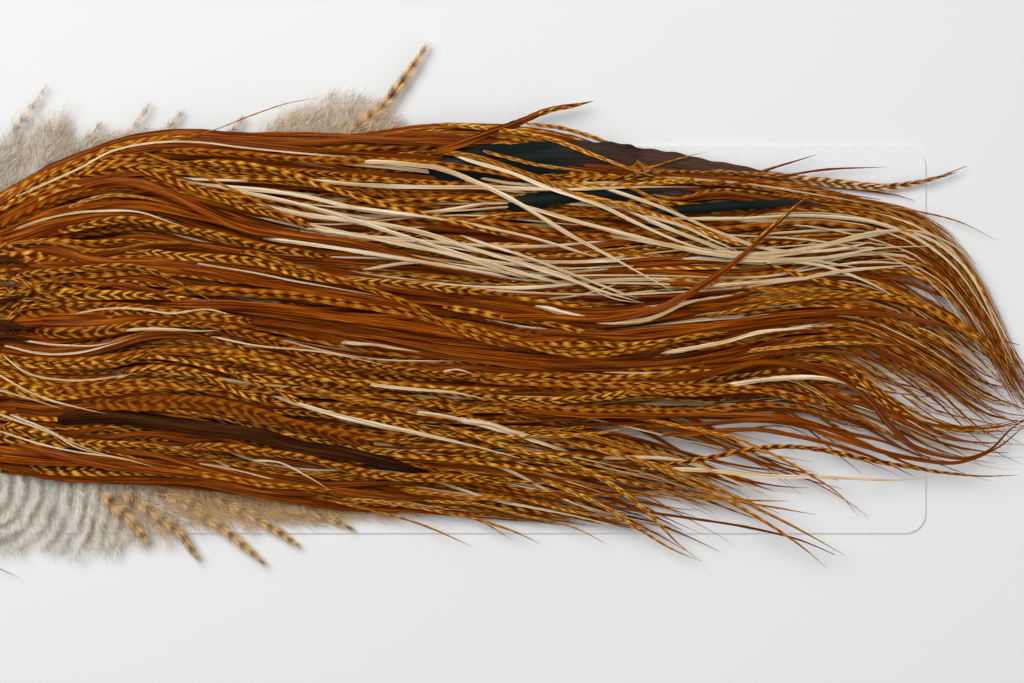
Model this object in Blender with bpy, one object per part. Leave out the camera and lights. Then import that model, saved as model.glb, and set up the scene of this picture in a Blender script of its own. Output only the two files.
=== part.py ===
"""A rooster saddle: the hide with its long saddle hackles, laid flat on a stiff white backing card.

The hide lies at the card's left end and the hackles sweep over the card towards +X, past its right end.
The origin is the centre of the card's underside, X runs along the card towards the hackle tips and
Z points up. Blender works in metres here, and every size below is a real one.
"""

import math
import random

import bmesh
import bpy
import numpy as np
from mathutils import Vector

MM = 0.001

# The card
CARD_LENGTH = 381.0 * MM
CARD_WIDTH = 114.3 * MM
CARD_THICKNESS = 0.8 * MM
CARD_CORNER_RADIUS = 6.0 * MM
CARD_CORNER_STEPS = 6

# How points picked by eye on the picture of the saddle turn into real places
PIXEL = 0.2953 * MM
CARD_CENTRE_PIXEL = (280.0, 339.5)

# The pelt
PELT_GAP = 0.3 * MM
PELT_FLOOR = CARD_THICKNESS + PELT_GAP
SKIN_THICKNESS = 1.4 * MM
SKIN_FRONT_PIXEL = -290.0
SKIN_BACK_PIXEL = 62.0
SKIN_HALF_WIDTH = 35.0 * MM
SKIN_STEPS = 22

# How high the feathers pile up along the pelt: (picture x, height above the pelt's floor)
PILE = (
    (-300.0, 4.0 * MM),
    (-200.0, 9.0 * MM),
    (-100.0, 14.0 * MM),
    (20.0, 17.0 * MM),
    (200.0, 19.0 * MM),
    (400.0, 16.0 * MM),
    (600.0, 13.0 * MM),
    (800.0, 10.0 * MM),
    (925.0, 7.0 * MM),
    (1045.0, 3.5 * MM),
)
EDGE_PILE = 0.28

# The lie of the hackles, as lines of picture points from the upper edge of the pelt to the lower one
FLOW_LINES = (
    (
        (-300, 250), (-200, 228), (-100, 210), (0, 194), (60, 163), (100, 149), (140, 138), (180, 133),
        (240, 136), (330, 136), (380, 129), (420, 122), (520, 122), (560, 128), (600, 142), (640, 164),
        (680, 178), (740, 181), (800, 188), (850, 199), (890, 206), (925, 216), (950, 230), (975, 256),
        (995, 288), (1010, 322), (1022, 352), (1040, 396),
    ),
    (
        (-300, 266), (-200, 250), (-100, 230), (0, 205), (50, 178), (100, 159), (150, 151), (200, 150),
        (280, 153), (360, 158), (440, 163), (520, 174), (600, 178), (680, 181), (760, 184), (820, 194),
        (870, 206), (915, 224), (950, 252), (978, 290), (1000, 332), (1018, 372), (1036, 410),
    ),
    (
        (-300, 283), (-200, 270), (-100, 248), (0, 219), (50, 196), (100, 183), (150, 182), (200, 192),
        (260, 201), (330, 206), (400, 206), (470, 205), (540, 205), (600, 208), (680, 211), (760, 213),
        (830, 214), (880, 224), (925, 244), (960, 274), (985, 312), (1005, 352), (1030, 400),
    ),
    (
        (-300, 299), (-200, 288), (-100, 262), (0, 237), (50, 217), (100, 209), (150, 212), (200, 226),
        (260, 240), (330, 250), (400, 255), (470, 258), (540, 260), (600, 258), (680, 256), (760, 254),
        (830, 246), (880, 244), (920, 256), (955, 286), (985, 330), (1012, 376), (1030, 404),
    ),
    (
        (-300, 315), (-200, 306), (-100, 282), (0, 247), (50, 245), (90, 250), (140, 246), (200, 251),
        (260, 262), (330, 270), (400, 277), (470, 284), (540, 290), (600, 290), (680, 285), (760, 279),
        (830, 268), (880, 266), (920, 276), (955, 300), (985, 338), (1020, 386),
    ),
    (
        (-300, 332), (-200, 324), (-100, 304), (0, 276), (50, 272), (100, 272), (150, 274), (200, 281),
        (260, 289), (330, 296), (400, 303), (470, 310), (540, 317), (600, 321), (680, 316), (740, 308),
        (800, 298), (860, 298), (910, 312), (950, 336), (985, 368), (1030, 398),
    ),
    (
        (-300, 348), (-200, 345), (-100, 334), (0, 306), (50, 300), (100, 304), (150, 308), (200, 313),
        (260, 320), (330, 328), (400, 334), (470, 342), (540, 351), (600, 352), (680, 344), (740, 335),
        (800, 323), (850, 324), (900, 342), (940, 366), (985, 392), (1035, 406),
    ),
    (
        (-300, 364), (-200, 366), (-100, 360), (0, 338), (50, 346), (100, 344), (150, 334), (200, 334),
        (260, 346), (330, 358), (400, 366), (470, 372), (540, 378), (600, 379), (680, 375), (740, 370),
        (800, 362), (850, 376), (900, 402), (950, 424), (1000, 434), (1040, 430),
    ),
    (
        (-300, 381), (-200, 387), (-100, 386), (0, 372), (50, 383), (100, 384), (150, 380), (200, 384),
        (260, 395), (330, 403), (400, 407), (470, 409), (540, 407), (600, 406), (680, 406), (740, 408),
        (800, 413), (850, 430), (900, 452), (960, 468), (1035, 480),
    ),
    (
        (-300, 397), (-200, 410), (-100, 414), (0, 406), (50, 411), (100, 409), (150, 408), (200, 412),
        (260, 424), (330, 435), (400, 442), (470, 448), (540, 454), (600, 462), (660, 474), (720, 494),
        (780, 522), (845, 556),
    ),
    (
        (-300, 414), (-200, 432), (-100, 441), (0, 440), (50, 447), (100, 451), (150, 453), (200, 458),
        (260, 468), (330, 479), (400, 487), (470, 496), (540, 507), (600, 519), (660, 537), (705, 559),
    ),
    (
        (-300, 430), (-200, 454), (-100, 468), (0, 473), (50, 478), (100, 481), (160, 485), (220, 492),
        (280, 498), (340, 505), (400, 509), (460, 514), (540, 520), (625, 530),
    ),
)

# Three layers of locks: how many, first and last picture x, rows drifted, height share and width
LOWER_LOCKS = dict(count=18, start=-100, end=1046, drift=0.0, share=0.72, width=9.0 * MM, rings=16)
MIDDLE_LOCKS = dict(count=13, start=-190, end=760, drift=0.07, share=0.88, width=8.0 * MM, rings=11)
UPPER_LOCKS = dict(count=9, start=-60, end=650, drift=0.15, share=1.0, width=7.0 * MM, rings=9)
FRONT_LOCKS = dict(count=8, start=-280, end=-30, drift=0.0, share=0.9, width=11.0 * MM, rings=6)
LOCK_END_SCATTER = 45.0
LAST_LOCK_REACH = ((0.0, 1046.0), (0.74, 1046.0), (0.80, 850.0), (0.90, 720.0), (1.0, 625.0))
TIP_HALF_WIDTH = 0.5 * MM
TIP_HEIGHT = 0.8 * MM

# Tufts of down beside the pelt: picture points of the midline, width and height at the root
DOWN_TUFTS = (
    (((30, 225), (26, 160), (34, 92)), 22.0 * MM, 7.0 * MM),
    (((-40, 240), (-30, 175), (-18, 112)), 25.0 * MM, 7.0 * MM),
    (((-120, 250), (-112, 195), (-98, 140)), 23.0 * MM, 6.0 * MM),
    (((95, 175), (112, 140), (140, 108)), 17.0 * MM, 5.0 * MM),
    (((250, 150), (300, 128), (352, 92)), 13.0 * MM, 5.0 * MM),
    (((-140, 440), (-125, 490), (-96, 540)), 24.0 * MM, 7.0 * MM),
    (((-50, 440), (-30, 500), (6, 562)), 26.0 * MM, 8.0 * MM),
    (((20, 450), (50, 505), (72, 560)), 23.0 * MM, 7.0 * MM),
    (((90, 460), (120, 505), (150, 548)), 21.0 * MM, 6.0 * MM),
    (((160, 465), (205, 500), (256, 556)), 19.0 * MM, 5.0 * MM),
    (((250, 475), (295, 500), (335, 520)), 13.0 * MM, 4.0 * MM),
)

# Single feathers that part from the rest: picture points, width and height of the feather's back
SINGLE_FEATHERS = (
    # the barred feather that stands out at the upper edge
    (((330, 150), (372, 118), (398, 86), (425, 48)), 8.0 * MM, 4.5 * MM),
    # the short brown point above it
    (((470, 140), (515, 124), (552, 109), (590, 101)), 4.0 * MM, 4.5 * MM),
    # the broad dark feather, its barred end and the two tips beside it
    (((430, 172), (520, 160), (600, 153), (690, 168), (780, 178), (885, 186), (967, 166)), 10.5 * MM, 9.0 * MM),
    (((740, 178), (780, 166), (816, 154)), 3.0 * MM, 7.0 * MM),
    (((760, 180), (820, 170), (888, 167)), 2.5 * MM, 7.0 * MM),
    # the brown hackle that crosses over the others
    (((540, 318), (610, 319), (660, 307), (710, 280), (765, 235), (808, 196)), 4.0 * MM, 14.0 * MM),
    # thin ends at the right and lower edge
    (((880, 206), (940, 220), (998, 240)), 2.4 * MM, 4.0 * MM),
    (((560, 470), (660, 510), (740, 540), (830, 568)), 4.0 * MM, 5.0 * MM),
    (((700, 428), (770, 455), (820, 482), (860, 518)), 2.6 * MM, 4.0 * MM),
    (((420, 490), (520, 520), (600, 540)), 3.0 * MM, 3.0 * MM),
)

HACKLE_COLOUR = (0.30, 0.10, 0.02, 1.0)
CARD_COLOUR = (0.84, 0.85, 0.87, 1.0)
LOCK_SEED = 11


def clear_scene():
    """Takes the objects of the starting scene away."""
    for scene_object in list(bpy.data.objects):
        bpy.data.objects.remove(scene_object, do_unlink=True)


def surface(name, colour, roughness):
    """A Principled material of one colour and roughness."""
    material = bpy.data.materials.new(name)
    material.use_nodes = True
    shader = material.node_tree.nodes["Principled BSDF"]
    shader.inputs["Base Color"].default_value = colour
    shader.inputs["Roughness"].default_value = roughness
    shader.inputs["Metallic"].default_value = 0.0
    return material


def finished_object(name, form, material, collection):
    """An object made from a bmesh, with its material, in a collection."""
    mesh = bpy.data.meshes.new(name)
    form.to_mesh(mesh)
    form.free()
    mesh.materials.append(material)
    made = bpy.data.objects.new(name, mesh)
    collection.objects.link(made)
    return made


def place(x, y):
    """The real X and Y of a picture point."""
    return (x - CARD_CENTRE_PIXEL[0]) * PIXEL, (CARD_CENTRE_PIXEL[1] - y) * PIXEL


def through(points, amount):
    """A point at 0 to 1 of the smooth curve through a list of points."""
    spans = len(points) - 1
    span = min(int(amount * spans), spans - 1)
    t = amount * spans - span
    before = np.array(points[max(span - 1, 0)], float)
    first = np.array(points[span], float)
    last = np.array(points[span + 1], float)
    after = np.array(points[min(span + 2, spans)], float)
    return 0.5 * (
        2 * first
        + (last - before) * t
        + (2 * before - 5 * first + 4 * last - after) * t**2
        + (3 * first - before - 3 * last + after) * t**3
    )


def flow_height(row, x):
    """The picture y of the lie of the hackles, at a row from 0 to 1 down the pelt and a picture x."""
    place_in_rows = min(max(row, 0.0), 1.0) * (len(FLOW_LINES) - 1)
    upper = min(int(place_in_rows), len(FLOW_LINES) - 2)
    share = place_in_rows - upper
    heights = []
    for line in (FLOW_LINES[upper], FLOW_LINES[upper + 1]):
        knots = np.array(line, float)
        columns, rows = knots[:, 0], knots[:, 1]
        slopes = np.gradient(rows, columns)
        span = min(max(int(np.searchsorted(columns, x)) - 1, 0), len(columns) - 2)
        width = columns[span + 1] - columns[span]
        t = min((x - columns[span]) / width, 1.0)
        curve = (
            rows[span] * (1.0 - t) ** 2 * (1.0 + 2.0 * t)
            + rows[span + 1] * t**2 * (3.0 - 2.0 * t)
            + slopes[span] * width * t * (1.0 - t) ** 2
            - slopes[span + 1] * width * t**2 * (1.0 - t)
        )
        heights.append(curve + max(x - columns[-1], 0.0) * slopes[-1])
    return heights[0] + (heights[1] - heights[0]) * share


def pile_height(row, x):
    """How high the feathers pile up at a row and picture x, lower towards the pelt's edges."""
    middle = np.interp(x, [knot[0] for knot in PILE], [knot[1] for knot in PILE])
    across = abs(2.0 * row - 1.0)
    return middle * (EDGE_PILE + (1.0 - EDGE_PILE) * math.sqrt(max(1.0 - across**2.6, 0.0)))


def move_section(corners, centre, across, half_width, height):
    """Lays a lock's five corners out: flat below, upright sides and a ridge on top."""
    outline = ((-1.0, 0.0), (1.0, 0.0), (0.82, 0.72), (0.0, 1.0), (-0.82, 0.72))
    for corner, (side, rise) in zip(corners, outline):
        corner.co = centre + across * (side * half_width) + Vector((0.0, 0.0, rise * height))


def lock(name, centres, half_widths, heights, material, collection):
    """One tapered lock: its section is extruded from each centre to the next."""
    form = bmesh.new()
    corners = [form.verts.new((0.0, 0.0, 0.0)) for _ in range(5)]
    face = form.faces.new(corners)
    for index, centre in enumerate(centres):
        ahead = centres[min(index + 1, len(centres) - 1)] - centres[max(index - 1, 0)]
        across = Vector((-ahead.y, ahead.x, 0.0)).normalized()
        if index:
            grown = bmesh.ops.extrude_face_region(form, geom=[face])["geom"]
            face = next(item for item in grown if isinstance(item, bmesh.types.BMFace))
            corners = follow(corners, face)
            if index > 1:
                bmesh.ops.delete(form, geom=[old_face], context="FACES_ONLY")
            old_face = face
        move_section(corners, centre, across, half_widths[index], heights[index])
    bmesh.ops.recalc_face_normals(form, faces=form.faces[:])
    made = finished_object(name, form, material, collection)
    made.hide_render = True
    made.display_type = "WIRE"
    return made


def follow(corners, face):
    """The corners of an extruded face, in the order of the corners that they came from."""
    new_corners = set(face.verts)
    found = []
    for corner in corners:
        ends = [edge.other_vert(corner) for edge in corner.link_edges]
        found.append(next(end for end in ends if end in new_corners))
    return found


def evenly_spaced(points, count):
    """Points at equal distances along a line of picture points."""
    line = np.array(points, float)
    steps = np.hypot(*np.diff(line, axis=0).T)
    along = np.concatenate([[0.0], np.cumsum(steps)])
    marks = np.linspace(0.0, along[-1], count)
    return np.column_stack([np.interp(marks, along, line[:, axis]) for axis in (0, 1)])


def taper(amount, root, belly_at):
    """Relative width along a lock: a narrower root, full at the belly, running out to the tip."""
    if amount < belly_at:
        return root + (1.0 - root) * math.sin(0.5 * math.pi * amount / belly_at)
    return math.cos(0.5 * math.pi * (amount - belly_at) / (1.0 - belly_at)) ** 0.8


def layer_of_locks(title, layer, chance, material, collection):
    """Builds one layer of locks that follow the lie of the hackles."""
    reach_rows, reach_ends = zip(*LAST_LOCK_REACH)
    for number in range(layer["count"]):
        row = (number + 0.5) / layer["count"]
        start = layer["start"] + chance.uniform(-LOCK_END_SCATTER, LOCK_END_SCATTER) * 0.5
        far = np.interp(row, reach_rows, reach_ends)
        end = min(layer["end"] - chance.uniform(0.0, LOCK_END_SCATTER), far)
        columns = np.linspace(start, end, 80)
        drifted = [row + layer["drift"] * (column - start) / (end - start) for column in columns]
        path = [(column, flow_height(at, column)) for column, at in zip(columns, drifted)]
        spots = evenly_spaced(path, layer["rings"])
        centres = []
        half_widths = []
        heights = []
        for index, (x, y) in enumerate(spots):
            amount = index / (layer["rings"] - 1)
            width = layer["width"] * 0.5 * taper(amount, 0.6, 0.35)
            at_row = row + layer["drift"] * amount
            rise = pile_height(min(at_row, 1.0), x) * layer["share"]
            rise *= min(1.0, 0.35 + 2.6 * amount)
            centres.append(Vector((*place(x, y), PELT_FLOOR)))
            half_widths.append(max(width, TIP_HALF_WIDTH))
            heights.append(max(rise * (0.45 if amount == 1.0 else 1.0), TIP_HEIGHT))
        lock(f"{title}_{number}", centres, half_widths, heights, material, collection)


def traced_locks(title, traced, rings, material, collection):
    """Builds the locks whose midlines were picked point by point."""
    for number, (points, width, height) in enumerate(traced):
        curve = [through(points, step / 40) for step in range(41)]
        spots = evenly_spaced(curve, rings)
        centres = [Vector((*place(x, y), PELT_FLOOR)) for x, y in spots]
        amounts = [index / (rings - 1) for index in range(rings)]
        half_widths = [max(width * 0.5 * taper(amount, 0.7, 0.3), TIP_HALF_WIDTH) for amount in amounts]
        heights = [max(height * (1.0 - 0.72 * amount), TIP_HEIGHT) for amount in amounts]
        lock(f"{title}_{number}", centres, half_widths, heights, material, collection)


def build_card(collection):
    """The backing card, a plate with round corners."""
    form = bmesh.new()
    outline = []
    for quarter in range(4):
        side_x = 1.0 if quarter in (0, 3) else -1.0
        side_y = 1.0 if quarter in (0, 1) else -1.0
        centre_x = side_x * (CARD_LENGTH * 0.5 - CARD_CORNER_RADIUS)
        centre_y = side_y * (CARD_WIDTH * 0.5 - CARD_CORNER_RADIUS)
        for step in range(CARD_CORNER_STEPS + 1):
            angle = 0.5 * math.pi * (quarter + step / CARD_CORNER_STEPS)
            x = centre_x + CARD_CORNER_RADIUS * math.cos(angle)
            y = centre_y + CARD_CORNER_RADIUS * math.sin(angle)
            outline.append(form.verts.new((x, y, 0.0)))
    base = form.faces.new(outline)
    grown = bmesh.ops.extrude_face_region(form, geom=[base])["geom"]
    top = [item for item in grown if isinstance(item, bmesh.types.BMVert)]
    bmesh.ops.translate(form, vec=(0.0, 0.0, CARD_THICKNESS), verts=top)
    bmesh.ops.recalc_face_normals(form, faces=form.faces[:])
    return finished_object("backing_card", form, surface("coated card", CARD_COLOUR, 0.5), collection)


def build_skin(material, collection):
    """The dried hide under the feather roots, an uneven oval plate."""
    front_x, middle_y = place(SKIN_FRONT_PIXEL, CARD_CENTRE_PIXEL[1])
    back_x, _ = place(SKIN_BACK_PIXEL, CARD_CENTRE_PIXEL[1])
    centre_x = 0.5 * (front_x + back_x)
    half_length = 0.5 * (back_x - front_x)
    form = bmesh.new()
    edge = []
    for step in range(SKIN_STEPS):
        angle = 2.0 * math.pi * step / SKIN_STEPS
        swell = 1.0 + 0.03 * math.sin(5.0 * angle + 0.7)
        across = math.copysign(abs(math.sin(angle)) ** 0.7, math.sin(angle))
        along = math.copysign(abs(math.cos(angle)) ** 0.8, math.cos(angle))
        narrowing = 1.0 + 0.12 * along
        x = centre_x + half_length * along * swell
        y = middle_y + SKIN_HALF_WIDTH * across * swell * narrowing
        edge.append(form.verts.new((x, y, PELT_FLOOR)))
    base = form.faces.new(edge)
    grown = bmesh.ops.extrude_face_region(form, geom=[base])["geom"]
    top = [item for item in grown if isinstance(item, bmesh.types.BMVert)]
    bmesh.ops.translate(form, vec=(0.0, 0.0, SKIN_THICKNESS), verts=top)
    bmesh.ops.recalc_face_normals(form, faces=form.faces[:])
    return finished_object("saddle_pelt", form, material, collection)


def build_pelt(collection):
    """The hide with its locks of hackles and tufts of down, all grown together in one solid."""
    feather = surface("feather", HACKLE_COLOUR, 0.45)
    locks = bpy.data.collections.new("locks")
    collection.children.link(locks)
    chance = random.Random(LOCK_SEED)
    layer_of_locks("lower_lock", LOWER_LOCKS, chance, feather, locks)
    layer_of_locks("middle_lock", MIDDLE_LOCKS, chance, feather, locks)
    layer_of_locks("upper_lock", UPPER_LOCKS, chance, feather, locks)
    layer_of_locks("front_lock", FRONT_LOCKS, chance, feather, locks)
    traced_locks("down_tuft", DOWN_TUFTS, 4, feather, locks)
    traced_locks("single_feather", SINGLE_FEATHERS, 7, feather, locks)
    pelt = build_skin(feather, collection)
    union = pelt.modifiers.new("grown together", "BOOLEAN")
    union.operation = "UNION"
    union.solver = "EXACT"
    union.operand_type = "COLLECTION"
    union.collection = locks
    return pelt


def main():
    """Builds the card and the pelt that lies on it."""
    clear_scene()
    collection = bpy.context.scene.collection
    build_card(collection)
    build_pelt(collection)


main()
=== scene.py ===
"""The looks of a carded rooster saddle: every hackle, the down, the hide, the card and a plain studio."""

import logging
import math
from dataclasses import dataclass, field
from enum import Enum

import bmesh
import bpy
import numpy as np
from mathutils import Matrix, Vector


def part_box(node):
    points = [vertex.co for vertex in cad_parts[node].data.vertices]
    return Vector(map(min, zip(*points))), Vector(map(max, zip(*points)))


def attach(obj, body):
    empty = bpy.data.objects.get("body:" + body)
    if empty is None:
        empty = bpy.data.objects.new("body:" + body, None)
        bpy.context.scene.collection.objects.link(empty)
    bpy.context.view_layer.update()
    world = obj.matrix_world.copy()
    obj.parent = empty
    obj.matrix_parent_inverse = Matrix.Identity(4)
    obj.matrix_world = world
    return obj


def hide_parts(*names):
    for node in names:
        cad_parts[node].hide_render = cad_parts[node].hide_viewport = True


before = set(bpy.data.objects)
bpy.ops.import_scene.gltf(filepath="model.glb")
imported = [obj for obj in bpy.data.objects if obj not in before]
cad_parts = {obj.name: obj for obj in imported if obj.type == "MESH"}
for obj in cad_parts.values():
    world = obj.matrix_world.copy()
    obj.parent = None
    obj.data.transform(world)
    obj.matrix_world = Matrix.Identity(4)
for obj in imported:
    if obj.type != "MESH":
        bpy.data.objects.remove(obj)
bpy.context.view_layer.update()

LOG = logging.getLogger("rooster_saddle")

MM = 0.001

# The photo's size in pixels, a pixel's length on the part, and where the card's centre is in the photo
PHOTO_WIDTH = 1024
PHOTO_HEIGHT = 683
PIXEL = 0.2953 * MM
CARD_CENTRE_PIXEL = (280.0, 339.5)

# The part's point under the photo's middle
MIDDLE_X = (PHOTO_WIDTH / 2 - CARD_CENTRE_PIXEL[0]) * PIXEL
MIDDLE_Y = (CARD_CENTRE_PIXEL[1] - PHOTO_HEIGHT / 2) * PIXEL

# The camera hangs where its picture is as wide on the table as the photo
CAMERA_LENS = 85.0
SENSOR_WIDTH = 36.0
CAMERA_HEIGHT = PHOTO_WIDTH * PIXEL * CAMERA_LENS / SENSOR_WIDTH

# The body, the solids that the looks follow, and heights over the table
BODY = "root"
PELT = "saddle_pelt"
CARD = "backing_card"
CARD_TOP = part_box(CARD)[1][2]
PELT_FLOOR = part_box(PELT)[0][2]
HIDE_TOP = PELT_FLOOR + 1.4 * MM
LEAST_HEIGHT = 0.35 * MM

# Faces across a feather's vane, how far its barbs slant, and the gloss that every hackle shares
ACROSS = 4
BARB_SLANT_MM = 1.4
WARM_GLOSS = "#F0A850"
GLOSS_LEVEL = 0.16


class Kind(Enum):
    """The sorts of feather on the saddle, by their markings."""

    BROWN = "brown_hackles"
    BARRED = "barred_hackles"
    CREAM = "cream_hackles"
    GOLD = "golden_hackles"
    SHEEN = "dark_sheen_feathers"
    DARK = "black_brown_hackles"
    GRIZZLY = "grizzly_hackles"


class End(Enum):
    """How a traced feather ends: at its own tip, or by running under its neighbours."""

    TIP = "tip"
    UNDER = "under"


def linear(colour: str) -> tuple[float, float, float, float]:
    """Turns an sRGB hex colour into linear RGBA.

    Args:
        colour: six hex digits, with or without a leading hash.

    Returns:
        The linear colour, with an alpha of 1.
    """
    digits = colour.lstrip("#")
    channels = [int(digits[start : start + 2], 16) / 255.0 for start in (0, 2, 4)]
    straight = [c / 12.92 if c <= 0.04045 else ((c + 0.055) / 1.055) ** 2.4 for c in channels]
    return (*straight, 1.0)


def add_node(tree: bpy.types.NodeTree, kind: str, settings: dict, inputs: dict) -> bpy.types.Node:
    """Adds a node with its settings, and links or sets its inputs.

    Args:
        tree: the node tree that takes the node.
        kind: the node's type, such as ShaderNodeMath.
        settings: the node's own properties by name.
        inputs: a socket to link from, or a value, for each input's name or number.

    Returns:
        The new node.
    """
    node = tree.nodes.new(kind)
    for name, value in settings.items():
        setattr(node, name, value)
    for name, value in inputs.items():
        if isinstance(value, bpy.types.NodeSocket):
            tree.links.new(value, node.inputs[name])
        else:
            node.inputs[name].default_value = value
    return node


def math_of(tree: bpy.types.NodeTree, operation: str, *values: object) -> bpy.types.NodeSocket:
    """Works out one sum, product or other step of arithmetic in a node tree.

    Args:
        tree: the node tree.
        operation: the operation's name, such as MULTIPLY.
        values: sockets or numbers.

    Returns:
        The result's socket.
    """
    node = add_node(tree, "ShaderNodeMath", {"operation": operation}, dict(enumerate(values)))
    return node.outputs[0]


def blended(tree: bpy.types.NodeTree, share: object, first: object, second: object) -> bpy.types.NodeSocket:
    """Mixes two colours.

    Args:
        tree: the node tree.
        share: how much of the second colour shows, a socket or a number.
        first: a colour or a colour socket.
        second: a colour or a colour socket.

    Returns:
        The mixed colour's socket.
    """
    node = add_node(tree, "ShaderNodeMix", {"data_type": "RGBA"}, {0: share, 6: first, 7: second})
    return node.outputs[2]


def ramp_of(tree: bpy.types.NodeTree, share: object, stops: list[tuple[float, str]]) -> bpy.types.NodeSocket:
    """Colours a number through a ramp.

    Args:
        tree: the node tree.
        share: the number's socket.
        stops: each stop's place from 0 to 1 and its hex colour.

    Returns:
        The colour's socket.
    """
    node = add_node(tree, "ShaderNodeValToRGB", {}, {0: share})
    elements = node.color_ramp.elements
    while len(elements) < len(stops):
        elements.new(0.5)
    for element, (place, colour) in zip(elements, stops):
        element.position = place
        element.color = linear(colour)
    return node.outputs[0]


def ranged(
    tree: bpy.types.NodeTree, value: object, span: tuple[float, float], results: tuple, smooth: bool = False
) -> bpy.types.NodeSocket:
    """Carries a number from one range to another, and holds it at both ends.

    Args:
        tree: the node tree.
        value: the number's socket.
        span: where the first range starts and ends.
        results: the results there, sockets or numbers.
        smooth: whether the change eases in and out.

    Returns:
        The result's socket.
    """
    settings = {"interpolation_type": "SMOOTHSTEP"} if smooth else {}
    inputs = {0: value, 1: span[0], 2: span[1], 3: results[0], 4: results[1]}
    return add_node(tree, "ShaderNodeMapRange", settings, inputs).outputs[0]


def noise_of(
    tree: bpy.types.NodeTree, place: object, scale: float, detail: float, roughness: float
) -> bpy.types.NodeSocket:
    """Reads cloudy noise at a place, a number around 0.5."""
    inputs = {"Vector": place, "Scale": scale, "Detail": detail, "Roughness": roughness}
    return add_node(tree, "ShaderNodeTexNoise", {}, inputs).outputs[0]


def valued(tree: bpy.types.NodeTree, colour: object, level: object) -> bpy.types.NodeSocket:
    """Makes a colour brighter or darker by a level around 1."""
    return add_node(tree, "ShaderNodeHueSaturation", {}, {"Value": level, "Color": colour}).outputs[0]


def new_material(name: str) -> tuple[bpy.types.Material, bpy.types.NodeTree, bpy.types.Node]:
    """Starts a material.

    Args:
        name: the material's name.

    Returns:
        The material, its node tree and its Principled node.
    """
    material = bpy.data.materials.new(name)
    material.use_nodes = True
    tree = material.node_tree
    return material, tree, tree.nodes["Principled BSDF"]


@dataclass(frozen=True)
class StrandSockets:
    """What a feather's material reads from its mesh."""

    along: bpy.types.NodeSocket
    across: bpy.types.NodeSocket
    number: bpy.types.NodeSocket
    side: bpy.types.NodeSocket
    pitch: bpy.types.NodeSocket
    at_quill: bpy.types.NodeSocket
    at_edge: bpy.types.NodeSocket


def strand_sockets(tree: bpy.types.NodeTree) -> StrandSockets:
    """Reads the two attributes that every feather mesh carries.

    Args:
        tree: the node tree.

    Returns:
        Millimetres along the feather, place across it from -1 to 1, its number from 0 to 1, the
        distance from the quill, and what the feather's bars are like.
    """
    strand = add_node(tree, "ShaderNodeAttribute", {"attribute_name": "strand"}, {})
    parts = add_node(tree, "ShaderNodeSeparateXYZ", {}, {0: strand.outputs["Vector"]})
    bars = add_node(tree, "ShaderNodeAttribute", {"attribute_name": "bars"}, {})
    bar_parts = add_node(tree, "ShaderNodeSeparateXYZ", {}, {0: bars.outputs["Vector"]})
    side = math_of(tree, "ABSOLUTE", parts.outputs[1])
    return StrandSockets(*parts.outputs[:3], side, *bar_parts.outputs[:3])


def chance_of(tree: bpy.types.NodeTree, strand: StrandSockets, shift: float = 0.0) -> bpy.types.NodeSocket:
    """Gives each feather a chance number of its own from 0 to 1, another one for each shift."""
    number = math_of(tree, "ADD", strand.number, shift)
    return add_node(tree, "ShaderNodeTexWhiteNoise", {"noise_dimensions": "1D"}, {"W": number}).outputs[0]


def slanted_along(
    tree: bpy.types.NodeTree, strand: StrandSockets, slant_mm: float
) -> bpy.types.NodeSocket:
    """Measures along the feather with its barbs, which run forward towards the vane's edge."""
    return math_of(tree, "SUBTRACT", strand.along, math_of(tree, "MULTIPLY", strand.side, slant_mm))


def away_from_bar(tree: bpy.types.NodeTree, turns: object) -> bpy.types.NodeSocket:
    """Turns a count of bars into the distance from the middle of the nearest one, from 0 to 0.5."""
    return math_of(tree, "ABSOLUTE", math_of(tree, "SUBTRACT", math_of(tree, "FRACT", turns), 0.5))


def streaks(
    tree: bpy.types.NodeTree, strand: StrandSockets, fine: float, long_mm: float
) -> bpy.types.NodeSocket:
    """Draws the barbs as streaks that run out along the feather.

    Args:
        tree: the node tree.
        strand: the feather's sockets.
        fine: streaks across half of the feather.
        long_mm: a streak's length in millimetres.

    Returns:
        A number around 0.5.
    """
    slanted = slanted_along(tree, strand, BARB_SLANT_MM)
    parts = {
        0: math_of(tree, "MULTIPLY", strand.across, fine),
        1: math_of(tree, "DIVIDE", slanted, long_mm),
        2: math_of(tree, "MULTIPLY", strand.number, 937.0),
    }
    place = add_node(tree, "ShaderNodeCombineXYZ", {}, parts)
    return noise_of(tree, place.outputs[0], 1.0, 3.0, 0.62)


def feather_relief(
    tree: bpy.types.NodeTree, shader: bpy.types.Node, height: object, depth: float
) -> None:
    """Gives a shader fine relief, such as a feather's barbs.

    Args:
        tree: the node tree.
        shader: the Principled node.
        height: the relief's socket.
        depth: the relief's depth in metres.
    """
    bump = add_node(tree, "ShaderNodeBump", {}, {"Strength": 0.75, "Distance": depth, "Height": height})
    tree.links.new(bump.outputs[0], shader.inputs["Normal"])


def finish_vane(
    tree: bpy.types.NodeTree,
    shader: bpy.types.Node,
    colour: object,
    roughness: float,
    lines: object,
    relief: float,
) -> None:
    """Ends a hackle's material with its colour, its warm gloss and the relief of its barbs.

    Args:
        tree: the node tree.
        shader: the Principled node.
        colour: the colour's socket.
        roughness: the gloss's roughness.
        lines: the barbs' socket.
        relief: the relief's depth in metres.
    """
    tree.links.new(colour, shader.inputs["Base Color"])
    shader.inputs["Roughness"].default_value = roughness
    shader.inputs["Specular IOR Level"].default_value = GLOSS_LEVEL
    shader.inputs["Specular Tint"].default_value = linear(WARM_GLOSS)
    feather_relief(tree, shader, lines, relief)


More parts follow.
